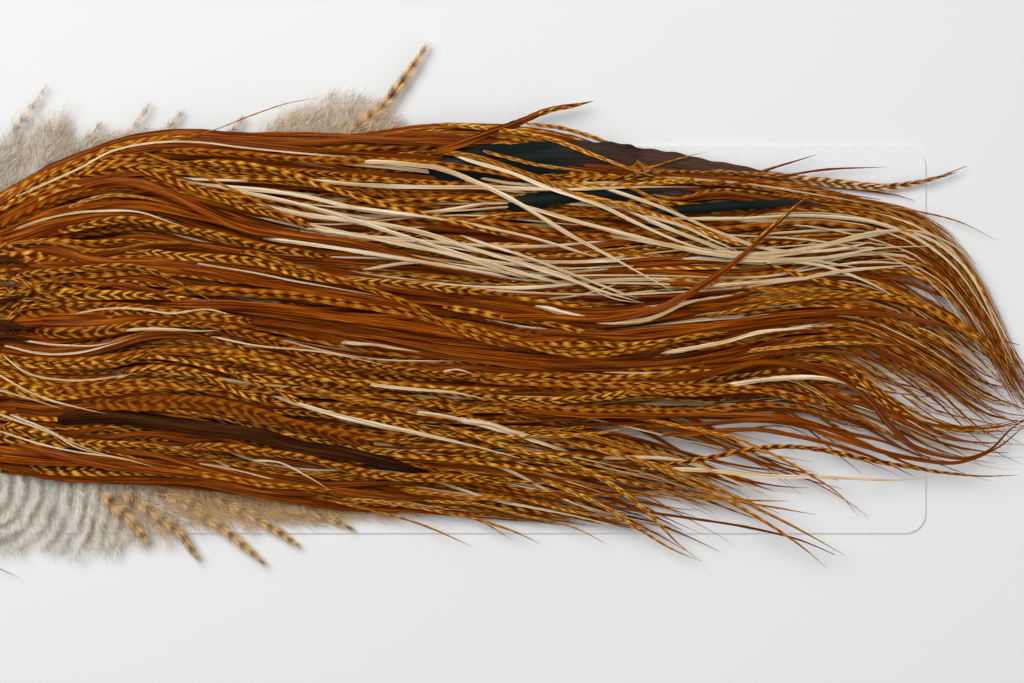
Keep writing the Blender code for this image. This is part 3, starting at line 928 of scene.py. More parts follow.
# The feathers that show by themselves, each from its root to its tip
TRACED = (
    Traced(Kind.DARK, 9, ((-30, 262), (4, 258), (30, 266)), End.TIP, 1.03),
    Traced(Kind.DARK, 8, ((-30, 296), (4, 300), (30, 296)), End.TIP, 1.03),
    Traced(Kind.DARK, 9, ((-30, 318), (8, 324), (34, 330)), End.TIP, 1.03),
    Traced(Kind.DARK, 8, ((-30, 344), (6, 338), (40, 340)), End.TIP, 1.02),
    Traced(Kind.BARRED, 7, ((-20, 300), (20, 292), (44, 282), (66, 274)), End.TIP, 1.09),
    Traced(Kind.BARRED, 7, ((-20, 280), (14, 278), (38, 290), (58, 300)), End.TIP, 1.09),
    Traced(Kind.CREAM, 2.6, ((0, 353), (23, 371), (64, 380), (107, 378), (138, 373)), End.TIP, 1.08),
    Traced(Kind.CREAM, 2.6, ((0, 345), (38, 353), (76, 353), (110, 345), (143, 335)), End.TIP, 1.08),
    Traced(Kind.CREAM, 2.6, ((-6, 372), (38, 396), (84, 409), (107, 414)), End.TIP, 1.08),
    Traced(Kind.CREAM, 2.4, ((8, 414), (51, 432), (76, 447), (107, 455)), End.TIP, 1.08),
    Traced(Kind.CREAM, 2.4, ((-4, 430), (33, 442), (76, 452), (115, 457), (158, 468)), End.TIP, 1.08),
    Traced(Kind.CREAM, 2.4, ((296, 402), (314, 409), (344, 419), (400, 432)), End.TIP, 1.05),
    Traced(Kind.CREAM, 2.2, ((186, 262), (240, 270), (300, 282), (380, 296)), End.TIP, 1.05),
    Traced(Kind.CREAM, 2.2, ((210, 336), (260, 346), (320, 352), (390, 366)), End.TIP, 1.05),
    Traced(Kind.GRIZZLY, 4, (
        (-170, 420), (-110, 490), (-50, 540), (-20, 562), (2, 570), (19, 578),
    ), End.TIP, 0.3),
    Traced(Kind.BARRED, 6, ((536, 116), (552, 110), (572, 106), (594, 101)), End.TIP, 1.12),
    Traced(Kind.BROWN, 11, (
        (0, 193), (30, 178), (60, 165), (100, 150), (140, 138), (180, 133), (240, 136), (330, 136),
        (420, 140), (520, 142),
    ), End.UNDER),
    Traced(Kind.CREAM, 2.4, (
        (0, 204), (40, 186), (80, 168), (110, 152), (150, 143), (200, 142), (240, 147), (300, 153),
        (360, 158),
    ), End.UNDER, 1.06),
    Traced(Kind.BARRED, 11, (
        (60, 182), (100, 172), (120, 168), (150, 171), (180, 182), (210, 192), (240, 205), (280, 215),
        (330, 235),
    ), End.UNDER),
    Traced(Kind.BARRED, 9, (
        (150, 151), (190, 151), (240, 155), (300, 160), (380, 162), (450, 165), (520, 176), (560, 186),
    ), End.UNDER, 1.0, "dashes"),
    Traced(Kind.BARRED, 9, (
        (180, 163), (220, 163), (260, 168), (300, 178), (340, 190), (400, 208), (460, 222), (520, 240),
    ), End.UNDER, 1.0, "dashes"),
    Traced(Kind.GOLD, 3, (
        (140, 151), (160, 158), (200, 175), (240, 193), (300, 222), (340, 242),
    ), End.TIP, 1.08),
    Traced(Kind.BROWN, 12, (
        (60, 200), (100, 183), (140, 183), (170, 193), (200, 207), (240, 225), (300, 237), (350, 243),
        (420, 262), (520, 283),
    ), End.UNDER),
    Traced(Kind.GOLD, 4.5, ((60, 213), (90, 199), (130, 195), (150, 199), (170, 205))),
    Traced(Kind.CREAM, 3, ((0, 237), (30, 224), (60, 215), (100, 211), (140, 212), (170, 222), (200, 233))),
    Traced(Kind.BARRED, 10, (
        (40, 232), (70, 228), (100, 222), (130, 220), (150, 224), (180, 230), (210, 234), (250, 245),
        (300, 252), (340, 258),
    ), End.UNDER),
    Traced(Kind.GOLD, 3.4, (
        (0, 243), (50, 242), (90, 250), (120, 249), (150, 243), (200, 243),
    ), End.UNDER, 1.06),
    Traced(Kind.BROWN, 12, (
        (0, 258), (30, 250), (60, 253), (90, 261), (140, 263), (200, 262), (260, 268), (360, 282),
        (480, 300),
    ), End.UNDER),
    Traced(Kind.BARRED, 10, (
        (120, 254), (150, 252), (180, 256), (220, 258), (260, 262), (300, 274), (340, 280), (400, 284),
        (460, 290), (520, 296),
    ), End.UNDER),
    Traced(Kind.BARRED, 8, (
        (10, 276), (60, 270), (100, 267), (140, 268), (160, 274), (190, 290), (217, 303),
    ), End.TIP, 1.08),
    Traced(Kind.BROWN, 5, ((90, 285), (120, 285), (150, 290), (185, 308)), End.TIP, 1.06),
    Traced(Kind.BARRED, 12, (
        (95, 318), (120, 311), (150, 313), (180, 314), (220, 317), (260, 322),
    ), End.UNDER, 1.03),
    Traced(Kind.CREAM, 2.2, (
        (70, 315), (100, 309), (140, 309), (170, 313), (210, 310), (240, 318),
    ), End.UNDER, 1.08),
    Traced(Kind.BARRED, 12, (
        (210, 322), (230, 330), (250, 335), (270, 340), (300, 352), (340, 358), (400, 368),
    ), End.UNDER, 1.02),
    Traced(Kind.CREAM, 3.5, ((120, 330), (160, 329), (200, 331), (220, 330)), End.TIP, 1.05),
    Traced(Kind.BARRED, 8, ((-16, 300), (4, 290), (24, 300), (42, 296))),
    Traced(Kind.BARRED, 8, ((30, 296), (56, 284), (80, 275))),
    Traced(Kind.BARRED, 7, ((50, 296), (76, 292), (102, 285))),
    Traced(Kind.BARRED, 7, ((0, 326), (20, 310), (44, 306), (66, 312))),
    Traced(Kind.BARRED, 17, (
        (70, 400), (100, 402), (140, 403), (180, 402), (220, 405), (250, 412), (290, 425), (330, 435),
        (380, 445),
    ), End.UNDER, 1.02),
    Traced(Kind.BARRED, 11, ((40, 362), (80, 365), (120, 362), (160, 355)), End.UNDER),
    Traced(Kind.BARRED, 11, (
        (120, 375), (160, 370), (190, 372), (220, 382), (250, 395), (280, 402),
    ), End.UNDER),
    Traced(Kind.BARRED, 10, ((50, 400), (60, 388), (90, 392), (130, 392), (175, 388)), End.TIP, 1.03),
    Traced(Kind.BARRED, 9, (
        (200, 358), (240, 358), (270, 365), (300, 372), (340, 380), (400, 386), (460, 390), (520, 392),
    ), End.UNDER, 1.0, "ladder"),
    Traced(Kind.BARRED, 8, ((230, 372), (250, 380), (280, 392), (310, 408)), End.UNDER),
    Traced(Kind.BARRED, 9, (
        (280, 342), (320, 355), (350, 362), (400, 370), (440, 374), (480, 378), (520, 385),
    ), End.UNDER),
    Traced(Kind.GOLD, 7, (
        (300, 385), (340, 398), (380, 405), (420, 412), (440, 415), (480, 410), (520, 412),
    ), End.UNDER),
    Traced(Kind.CREAM, 5, (
        (270, 395), (320, 410), (380, 425), (430, 436), (480, 448), (520, 458),
    ), End.TIP, 1.03),
    Traced(Kind.CREAM, 4, ((360, 383), (400, 388), (450, 392), (490, 400)), End.TIP, 1.04),
    Traced(Kind.CREAM, 7, ((455, 420), (490, 425), (520, 433), (540, 438)), End.TIP, 1.04),
    Traced(Kind.CREAM, 4, ((340, 342), (380, 346), (420, 352)), End.TIP, 1.04),
    Traced(Kind.CREAM, 3, ((440, 372), (460, 370), (475, 375)), End.TIP, 1.04),
    Traced(Kind.DARK, 15, (
        (30, 424), (75, 420), (118, 418), (160, 421), (200, 427), (240, 432), (270, 437), (300, 445),
        (340, 452), (380, 462), (430, 474),
    ), End.UNDER, 0.99),
    Traced(Kind.BROWN, 10, (
        (0, 440), (60, 455), (120, 467), (200, 477), (260, 490), (320, 495),
    ), End.UNDER),
    Traced(Kind.BARRED, 13, ((0, 425), (30, 433), (60, 440), (90, 447), (110, 452)), End.TIP, 1.02),
    Traced(Kind.BARRED, 8, (
        (190, 472), (230, 478), (260, 484), (300, 488), (340, 492),
    ), End.UNDER, 1.0, "ladder"),
    Traced(Kind.BARRED, 11, (
        (180, 447), (220, 447), (260, 452), (300, 458), (340, 468), (380, 475), (420, 478), (470, 478),
        (520, 480),
    ), End.UNDER),
    Traced(Kind.CREAM, 2.2, ((250, 460), (280, 463), (305, 475), (330, 490)), End.TIP, 1.05),
    Traced(Kind.CREAM, 2.4, ((-8, 388), (40, 402), (62, 409)), End.TIP, 1.05),
    Traced(Kind.CREAM, 2.4, ((-8, 412), (30, 425), (60, 437), (90, 450), (112, 456)), End.TIP, 1.05),
    Traced(Kind.CREAM, 2.4, ((20, 340), (60, 345), (100, 345), (126, 338)), End.TIP, 1.05),
    Traced(Kind.BROWN, 9, (
        (0, 468), (60, 478), (140, 480), (200, 484), (260, 495), (340, 507), (400, 512),
    ), End.UNDER),
    Traced(Kind.GOLD, 6, ((400, 490), (460, 497), (520, 498)), End.UNDER),
    Traced(Kind.CREAM, 6, (
        (330, 160), (400, 163), (440, 168), (480, 184), (520, 205), (560, 229), (600, 251), (640, 273),
        (673, 291),
    ), End.TIP, 1.04),
    Traced(Kind.CREAM, 5, (
        (290, 178), (360, 185), (480, 187), (560, 189), (640, 187), (700, 187),
    ), End.TIP, 1.02),
    Traced(Kind.CREAM, 6, (
        (240, 200), (300, 214), (360, 222), (420, 232), (480, 250), (520, 262), (560, 274), (620, 300),
        (644, 303),
    ), End.TIP, 1.02),
    Traced(Kind.CREAM, 5, ((260, 238), (320, 245), (380, 255), (440, 265), (520, 280)), End.UNDER, 1.02),
    Traced(Kind.CREAM, 5, ((300, 228), (360, 235), (420, 247), (480, 260), (540, 268)), End.UNDER, 1.02),
    Traced(Kind.CREAM, 5, (
        (220, 186), (300, 205), (360, 222), (430, 245), (520, 272), (580, 288),
    ), End.UNDER),
    Traced(Kind.CREAM, 5, (
        (440, 150), (470, 160), (510, 172), (545, 186), (600, 205), (640, 225), (700, 248), (740, 255),
    ), End.TIP, 1.03),
    Traced(Kind.CREAM, 5, (
        (500, 198), (580, 222), (640, 238), (700, 252), (760, 259), (820, 258), (880, 248), (940, 246),
    )),
    Traced(Kind.CREAM, 5, (
        (600, 235), (640, 240), (700, 250), (760, 253), (820, 245), (880, 232), (920, 232), (960, 250),
        (990, 290),
    ), End.TIP, 1.02),
    Traced(Kind.CREAM, 5, (
        (620, 208), (700, 240), (740, 254), (800, 252), (860, 238), (905, 229),
    ), End.UNDER),
    Traced(Kind.CREAM, 4, ((640, 215), (680, 225), (720, 243), (740, 252)), End.TIP, 1.04),
    Traced(Kind.CREAM, 4, (
        (580, 180), (660, 207), (720, 233), (770, 249), (830, 250), (880, 240),
    ), End.UNDER),
    Traced(Kind.CREAM, 4.5, (
        (660, 218), (740, 219), (820, 216), (880, 224), (920, 240), (950, 262), (985, 310), (1010, 352),
    )),
    Traced(Kind.CREAM, 4.5, ((480, 250), (540, 270), (600, 290), (640, 302)), End.TIP, 1.03),
    Traced(Kind.CREAM, 4, ((760, 262), (820, 262), (860, 268)), End.TIP, 1.03),
    Traced(Kind.CREAM, 5, ((700, 287), (760, 282), (800, 278), (850, 270), (920, 265)), End.TIP, 1.03),
    Traced(Kind.CREAM, 4, ((720, 260), (790, 262), (830, 268), (870, 283), (905, 302))),
    Traced(Kind.CREAM, 7, (
        (535, 306), (570, 315), (605, 321), (645, 319), (685, 304), (714, 296),
    ), End.TIP, 1.05),
    Traced(Kind.CREAM, 5, ((660, 354), (715, 344), (760, 332), (812, 328)), End.TIP, 1.03),
    Traced(Kind.CREAM, 6, ((720, 386), (760, 381), (800, 377), (835, 380), (870, 392))),
    Traced(Kind.CREAM, 3.6, ((460, 235), (540, 262), (600, 285), (640, 299)), End.UNDER),
    Traced(Kind.CREAM, 3.6, ((340, 205), (420, 216), (480, 226), (540, 240), (600, 258)), End.UNDER),
    Traced(Kind.CREAM, 3.6, ((300, 222), (380, 240), (460, 258), (530, 280)), End.UNDER),
    Traced(Kind.CREAM, 3.6, ((360, 270), (420, 262), (480, 268), (540, 279)), End.UNDER),
    Traced(Kind.CREAM, 5, ((400, 410), (460, 420), (520, 436), (570, 452)), End.UNDER),
    Traced(Kind.CREAM, 5, ((600, 458), (650, 458), (700, 466), (740, 484), (775, 500))),
    Traced(Kind.GOLD, 5, ((520, 122), (560, 128), (600, 140), (640, 163), (658, 176)), End.TIP, 1.04),
    Traced(Kind.GOLD, 6, (
        (440, 124), (500, 130), (560, 142), (600, 157), (640, 172), (662, 178),
    ), End.TIP, 1.03),
    Traced(Kind.GOLD, 4, ((480, 150), (540, 165), (600, 173)), End.TIP, 1.04),
    Traced(Kind.GOLD, 4, ((620, 183), (650, 197), (680, 213)), End.TIP, 1.04),
    Traced(Kind.GOLD, 6, (
        (540, 181), (620, 186), (680, 181), (740, 180), (790, 186), (840, 197),
    ), End.UNDER),
    Traced(Kind.GOLD, 6, ((430, 150), (480, 158), (540, 178), (580, 197), (620, 213)), End.UNDER),
    Traced(Kind.GOLD, 6, ((560, 190), (600, 200), (660, 215), (720, 237), (760, 250)), End.UNDER),
    Traced(Kind.GOLD, 5, ((740, 288), (780, 290), (820, 288), (840, 292)), End.TIP, 1.04),
    Traced(Kind.BARRED, 7, (
        (700, 318), (740, 310), (780, 301), (810, 297), (850, 295), (900, 300), (940, 312), (985, 340),
        (1016, 368),
    ), End.TIP, 1.02, "ladder"),
    Traced(Kind.BARRED, 6, (
        (760, 262), (800, 275), (840, 285), (870, 292), (920, 303), (950, 318), (980, 340), (1010, 370),
    ), End.TIP, 1.03, "dashes"),
    Traced(Kind.GOLD, 5, ((856, 277), (900, 292), (930, 309), (962, 330), (1000, 362)), End.TIP, 1.04),
    Traced(Kind.GOLD, 4, (
        (880, 225), (920, 235), (950, 252), (975, 280), (990, 310), (1003, 345), (1010, 380),
    ), End.TIP, 1.04),
    Traced(Kind.CREAM, 3.4, (
        (900, 228), (940, 245), (965, 268), (985, 300), (1000, 335), (1015, 365),
    ), End.TIP, 1.04),
    Traced(Kind.GOLD, 2.4, ((850, 199), (880, 206), (925, 213), (960, 222), (998, 241)), End.TIP, 1.02),
    Traced(Kind.BARRED, 8, (
        (440, 306), (480, 312), (510, 318), (540, 322), (560, 326), (600, 338),
    ), End.UNDER, 1.03, "ladder"),
    Traced(Kind.BARRED, 9, (
        (440, 318), (480, 330), (520, 342), (560, 352), (600, 355), (620, 352), (660, 344), (700, 336),
        (740, 332),
    ), End.UNDER, 1.03, "ladder"),
    Traced(Kind.BARRED, 7, ((590, 340), (620, 345), (660, 342), (730, 331)), End.TIP, 1.04, "dashes"),
    Traced(Kind.BARRED, 12, (
        (150, 296), (180, 292), (220, 291), (260, 294), (300, 296), (340, 301), (380, 307), (420, 315),
        (450, 325), (480, 335), (520, 347),
    ), End.UNDER, 1.03, "ladder"),
    Traced(Kind.BARRED, 8, (
        (230, 252), (250, 252), (300, 269), (340, 280), (380, 293), (420, 310), (450, 328), (480, 338),
        (520, 350),
    ), End.UNDER, 1.04, "dashes"),
    Traced(Kind.BROWN, 10, (
        (520, 330), (560, 332), (640, 335), (720, 325), (800, 315), (860, 312), (900, 316), (940, 325),
        (980, 335), (1020, 345),
    )),
    Traced(Kind.GOLD, 5, ((740, 352), (800, 345), (860, 343), (900, 345)), End.TIP, 1.02),
    Traced(Kind.BROWN, 9, (
        (640, 382), (700, 375), (760, 362), (800, 365), (840, 378), (870, 400), (890, 425), (910, 445),
        (940, 456), (970, 458), (990, 450), (1010, 430), (1030, 416),
    ), End.TIP, 1.05),
    Traced(Kind.BARRED, 9, (
        (440, 378), (480, 380), (560, 383), (600, 385), (640, 384), (700, 386), (740, 388), (800, 398),
        (850, 418),
    ), End.UNDER, 1.02, "ladder"),
    Traced(Kind.BARRED, 8, (
        (480, 404), (540, 408), (600, 412), (640, 411), (700, 410), (740, 406), (780, 405), (820, 412),
        (862, 432),
    ), End.TIP, 1.02, "dashes"),
    Traced(Kind.BARRED, 8, (
        (600, 386), (640, 390), (700, 393), (760, 390), (800, 400), (840, 410), (880, 430), (910, 445),
    ), End.TIP, 1.02),
    Traced(Kind.BROWN, 6, (
        (640, 428), (700, 425), (760, 420), (800, 422), (840, 432), (880, 440), (920, 455), (950, 462),
    ), End.TIP, 1.02),
    Traced(Kind.BROWN, 6, (
        (660, 436), (720, 431), (760, 430), (800, 437), (840, 447), (880, 460), (915, 477),
    ), End.TIP, 1.02),
    Traced(Kind.BARRED, 7, (
        (640, 470), (700, 460), (740, 452), (780, 447), (820, 450), (860, 458), (900, 465), (940, 472),
        (980, 476), (1020, 475),
    ), End.TIP, 1.02),
    Traced(Kind.CREAM, 5, ((640, 468), (700, 470), (760, 475), (840, 478), (900, 480), (932, 477))),
    Traced(Kind.GOLD, 4, (
        (640, 418), (700, 430), (740, 440), (780, 458), (810, 475), (840, 495), (860, 518),
    ), End.TIP, 1.04),
    Traced(Kind.GOLD, 5, ((480, 437), (540, 437), (600, 433), (640, 424)), End.TIP, 1.05),
    Traced(Kind.BROWN, 8, (
        (480, 402), (560, 412), (640, 415), (720, 415), (800, 421), (860, 442), (915, 466), (960, 474),
    )),
    Traced(Kind.BROWN, 6, (
        (720, 418), (790, 424), (850, 442), (910, 458), (960, 462), (1000, 446), (1030, 420),
    )),
    Traced(Kind.GOLD, 6, (
        (440, 424), (480, 437), (520, 450), (560, 460), (600, 478), (620, 490), (650, 515), (680, 545),
        (702, 562),
    ), End.TIP, 1.03),
    Traced(Kind.GOLD, 5, ((540, 478), (600, 505), (640, 530), (670, 548), (700, 561))),
    Traced(Kind.BROWN, 3.6, (
        (560, 494), (620, 508), (660, 514), (700, 520), (750, 528), (800, 540), (838, 556),
    ), End.TIP, 1.02),
    Traced(Kind.GOLD, 5, (
        (560, 440), (620, 455), (660, 470), (700, 488), (740, 508), (770, 525), (800, 545), (827, 568),
    ), End.TIP, 1.03),
    Traced(Kind.GOLD, 5, (
        (580, 446), (640, 460), (700, 480), (750, 505), (800, 530), (846, 556),
    ), End.TIP, 1.03),
    Traced(Kind.BROWN, 3, ((700, 470), (740, 480), (776, 492))),
    Traced(Kind.GOLD, 3, ((690, 494), (740, 500), (790, 501))),
    Traced(Kind.GOLD, 3, ((690, 496), (760, 505), (818, 515))),
    Traced(Kind.GOLD, 5, ((340, 500), (380, 502), (440, 511), (480, 521), (512, 540))),
    Traced(Kind.GOLD, 3.4, ((330, 500), (390, 515), (430, 528), (473, 547))),
    Traced(Kind.GOLD, 3.4, ((420, 500), (480, 505), (520, 515), (580, 530), (610, 546))),
    Traced(Kind.GOLD, 3.4, ((430, 510), (480, 520), (510, 530), (541, 544))),
    Traced(Kind.BROWN, 9, (
        (480, 318), (540, 318), (610, 319), (660, 307), (710, 280), (765, 235), (808, 196),
    ), End.TIP, 1.14),
    Traced(Kind.GOLD, 2.4, ((752, 243), (785, 214), (809, 195)), End.TIP, 1.22),
    Traced(Kind.BROWN, 12, ((100, 262), (200, 272), (300, 288), (400, 305), (480, 318)), End.UNDER),
    Traced(Kind.BROWN, 12, ((150, 304), (240, 306), (330, 315), (420, 328), (500, 340)), End.UNDER),
    Traced(Kind.BROWN, 9, ((430, 154), (470, 140), (515, 124), (552, 109), (592, 101)), End.TIP, 1.05),
    Traced(Kind.SHEEN, 35, (
        (420, 172), (480, 162), (540, 157), (600, 158), (640, 163), (700, 170), (745, 174), (800, 180),
    ), End.TIP, 0.86),
    Traced(Kind.GRIZZLY, 10, (
        (640, 172), (700, 174), (740, 176), (780, 178), (835, 183), (885, 187), (925, 181), (967, 166),
    ), End.TIP, 0.9),
    Traced(Kind.GRIZZLY, 5, ((880, 186), (910, 184), (935, 178), (958, 172)), End.TIP, 0.95),
    Traced(Kind.GRIZZLY, 7, ((628, 173), (650, 173), (680, 174), (704, 177)), End.TIP, 0.95),
    Traced(Kind.SHEEN, 15, ((500, 206), (560, 197), (610, 194), (650, 190), (690, 187)), End.TIP, 0.9),
    Traced(Kind.SHEEN, 10, ((640, 214), (690, 209), (750, 205), (800, 202), (834, 207)), End.TIP, 0.93),
    Traced(Kind.BROWN, 4, ((700, 184), (740, 178), (780, 166), (818, 154))),
    Traced(Kind.BROWN, 3.4, ((720, 186), (760, 180), (820, 170), (888, 167))),
    Traced(Kind.GOLD, 2, ((640, 170), (685, 157), (706, 152))),
    Traced(Kind.GOLD, 1.6, ((180, 138), (210, 131), (250, 116), (285, 104), (322, 97)), End.TIP, 1.1),
)


@dataclass
class Strands:
    """The centre lines, widths and markings of many feathers, ready to be made into one mesh.

    Arrays run over feathers, then over rings from root to tip.
    """

    centres: np.ndarray
    half_widths: np.ndarray
    rolls: np.ndarray
    sags: np.ndarray
    numbers: np.ndarray
    bars: np.ndarray

    def chosen(self, picked: np.ndarray) -> "Strands":
        """The feathers that a mask or list of indices picks."""
        return Strands(*(getattr(self, name)[picked] for name in self.__dataclass_fields__))


def grid_template(across: int, rings: int) -> np.ndarray:
    """Makes the face pattern that every ribbon of this size shares.

    Args:
        across: faces across the ribbon.
        rings: rings of points along it.

    Returns:
        Quads as rows of four point numbers, which face up where the ribbon runs towards +X. The
        points are numbered ring by ring.
    """
    form = bmesh.new()
    bmesh.ops.create_grid(form, x_segments=rings - 1, y_segments=across, size=1.0)
    number = {}
    for point in form.verts:
        ring = round((point.co.x + 1.0) / 2.0 * (rings - 1))
        lane = round((point.co.y + 1.0) / 2.0 * across)
        number[point] = ring * (across + 1) + lane
    quads = np.array([[number[point] for point in face.verts] for face in form.faces])
    form.free()
    return quads


def join_ribbons(name: str, points: np.ndarray, strand: np.ndarray, bars: np.ndarray) -> bpy.types.Object:
    """Joins many ribbons of one size into a mesh.

    Args:
        name: the piece's name.
        points: (ribbons, rings, lanes, 3) in metres.
        strand: (ribbons, rings, lanes, 3) of what the strand attribute holds.
        bars: (ribbons, 3) of what the bars attribute holds.

    Returns:
        The object, linked to the scene.
    """
    ribbons, rings, lanes = points.shape[:3]
    quads = grid_template(lanes - 1, rings)
    offsets = np.arange(ribbons)[:, None, None] * (rings * lanes)
    corners = (quads[None] + offsets).reshape(-1, 4)
    mesh = bpy.data.meshes.new(name)
    mesh.vertices.add(ribbons * rings * lanes)
    mesh.vertices.foreach_set("co", points.astype(np.float32).ravel())
    mesh.loops.add(corners.size)
    mesh.loops.foreach_set("vertex_index", corners.ravel().astype(np.int32))
    mesh.polygons.add(len(corners))
    mesh.polygons.foreach_set("loop_start", np.arange(0, corners.size, 4, dtype=np.int32))
    mesh.update(calc_edges=True)
    mesh.validate()
    mesh.shade_smooth()
    held = mesh.attributes.new("strand", "FLOAT_VECTOR", "POINT")
    held.data.foreach_set("vector", strand.astype(np.float32).ravel())
    spread = np.broadcast_to(bars[:, None, None, :], points.shape)
    held = mesh.attributes.new("bars", "FLOAT_VECTOR", "POINT")
    held.data.foreach_set("vector", np.ascontiguousarray(spread, np.float32).ravel())
    lay_out(mesh, ribbons, rings, lanes, corners)
    made = bpy.data.objects.new(name, mesh)
    bpy.context.scene.collection.objects.link(made)
    return made


def lay_out(
    mesh: bpy.types.Mesh, ribbons: int, rings: int, lanes: int, corners: np.ndarray
) -> None:
    """Lays the ribbons beside each other on a UV map, each in a cell of its own with a gap around it.

    Args:
        mesh: the joined mesh.
        ribbons: how many ribbons it has.
        rings: rings of points along each.
        lanes: points across each.
        corners: the point number of each face corner.
    """
    shelves = max(1, round(math.sqrt(ribbons / 12.0)))
    rows = math.ceil(ribbons / shelves)
    point = corners.ravel()
    ribbon = point // (rings * lanes)
    ring = (point % (rings * lanes)) // lanes
    lane = point % lanes
    gap = 0.12
    u = ((ribbon % shelves) + 0.01 + 0.98 * ring / (rings - 1)) / shelves
    v = ((ribbon // shelves) + gap + (1.0 - 2.0 * gap) * lane / (lanes - 1)) / rows
    layer = mesh.uv_layers.new(name="OFBake")
    layer.data.foreach_set("uv", np.column_stack([u, v]).astype(np.float32).ravel())


def vane_points(strands: Strands) -> tuple[np.ndarray, np.ndarray]:
    """Spreads each feather's vane over its centre line.

    Args:
        strands: the feathers.

    Returns:
        The points and what the strand attribute holds there.
    """
    ahead = np.gradient(strands.centres, axis=1)
    ahead /= np.linalg.norm(ahead, axis=2, keepdims=True) + 1e-12
    level = np.cross(np.array([0.0, 0.0, 1.0]), ahead)
    level /= np.linalg.norm(level, axis=2, keepdims=True) + 1e-12
    up = np.cross(ahead, level)
    turn = strands.rolls[..., None]
    side = level * np.cos(turn) + up * np.sin(turn)
    normal = up * np.cos(turn) - level * np.sin(turn)
    lanes = np.linspace(-1.0, 1.0, ACROSS + 1)
    steps = np.linalg.norm(np.diff(strands.centres, axis=1), axis=2)
    along = np.concatenate([np.zeros((len(steps), 1)), np.cumsum(steps, axis=1)], axis=1) / MM
    width = strands.half_widths[..., None]
    sag = strands.sags[:, None, None]
    drop = -sag * width * np.abs(lanes) ** 1.3
    points = (
        strands.centres[:, :, None, :]
        + side[:, :, None, :] * (width * lanes)[..., None]
        + normal[:, :, None, :] * drop[..., None]
    )
    lowest = CARD_TOP + LEAST_HEIGHT * 0.5
    points[..., 2] = np.maximum(points[..., 2], lowest)
    strand = np.empty_like(points)
    strand[..., 0] = along[..., None]
    strand[..., 1] = lanes
    strand[..., 2] = strands.numbers[:, None, None]
    return points, strand


def hackle_width(amount: np.ndarray, tip_from: float, slimming: float = 0.18) -> np.ndarray:
    """Relative width of a hackle from root to tip: slim and even, then running out to a point.

    Args:
        amount: 0 at the root to 1 at the tip.
        tip_from: where the taper starts.
        slimming: how much slimmer the vane gets before its taper.

    Returns:
        The relative width.
    """
    root = 0.16 + 0.84 * np.clip(amount / 0.12, 0.0, 1.0) ** 0.8
    taper = np.clip((amount - tip_from) / (1.0 - tip_from), 0.0, 1.0)
    return root * (1.0 - slimming * amount) * (1.0 - 0.94 * taper**1.3)


def curve_through(
    knots: np.ndarray, places: np.ndarray, marks: np.ndarray
) -> tuple[np.ndarray, np.ndarray]:
    """Reads a smooth curve through picture points.

    Args:
        knots: the picture points.
        places: how far along the curve each knot is.
        marks: how far along the curve to read.

    Returns:
        Picture x and picture y at each mark.
    """
    xs = smooth_line(np.column_stack([places, knots[:, 0]]), marks)
    ys = smooth_line(np.column_stack([places, knots[:, 1]]), marks)
    return xs, ys


def evenly(paths: np.ndarray, count: int) -> np.ndarray:
    """Spaces points evenly along lines.

    Args:
        paths: (lines, samples, 2 or 3).
        count: points wanted on each.

    Returns:
        The points, (lines, count, 2 or 3).
    """
    steps = np.linalg.norm(np.diff(paths, axis=1), axis=2)
    along = np.concatenate([np.zeros((len(paths), 1)), np.cumsum(steps, axis=1)], axis=1)
    spaced = np.empty((len(paths), count, paths.shape[2]))
    for number, (line, reach) in enumerate(zip(paths, along)):
        marks = np.linspace(0.0, reach[-1], count)
        for axis in range(paths.shape[2]):
            spaced[number, :, axis] = np.interp(marks, reach, line[:, axis])
    return spaced


def standing_of(kind: Kind, columns: np.ndarray, rows: np.ndarray) -> np.ndarray:
    """How near the top of the pile a kind of feather comes at picture points, from 0 to 1."""
    patches = PATCHES.get(kind, ())
    shares = [patch.share(columns, rows) for patch in patches]
    return np.max(shares, axis=0) if shares else np.zeros_like(columns)


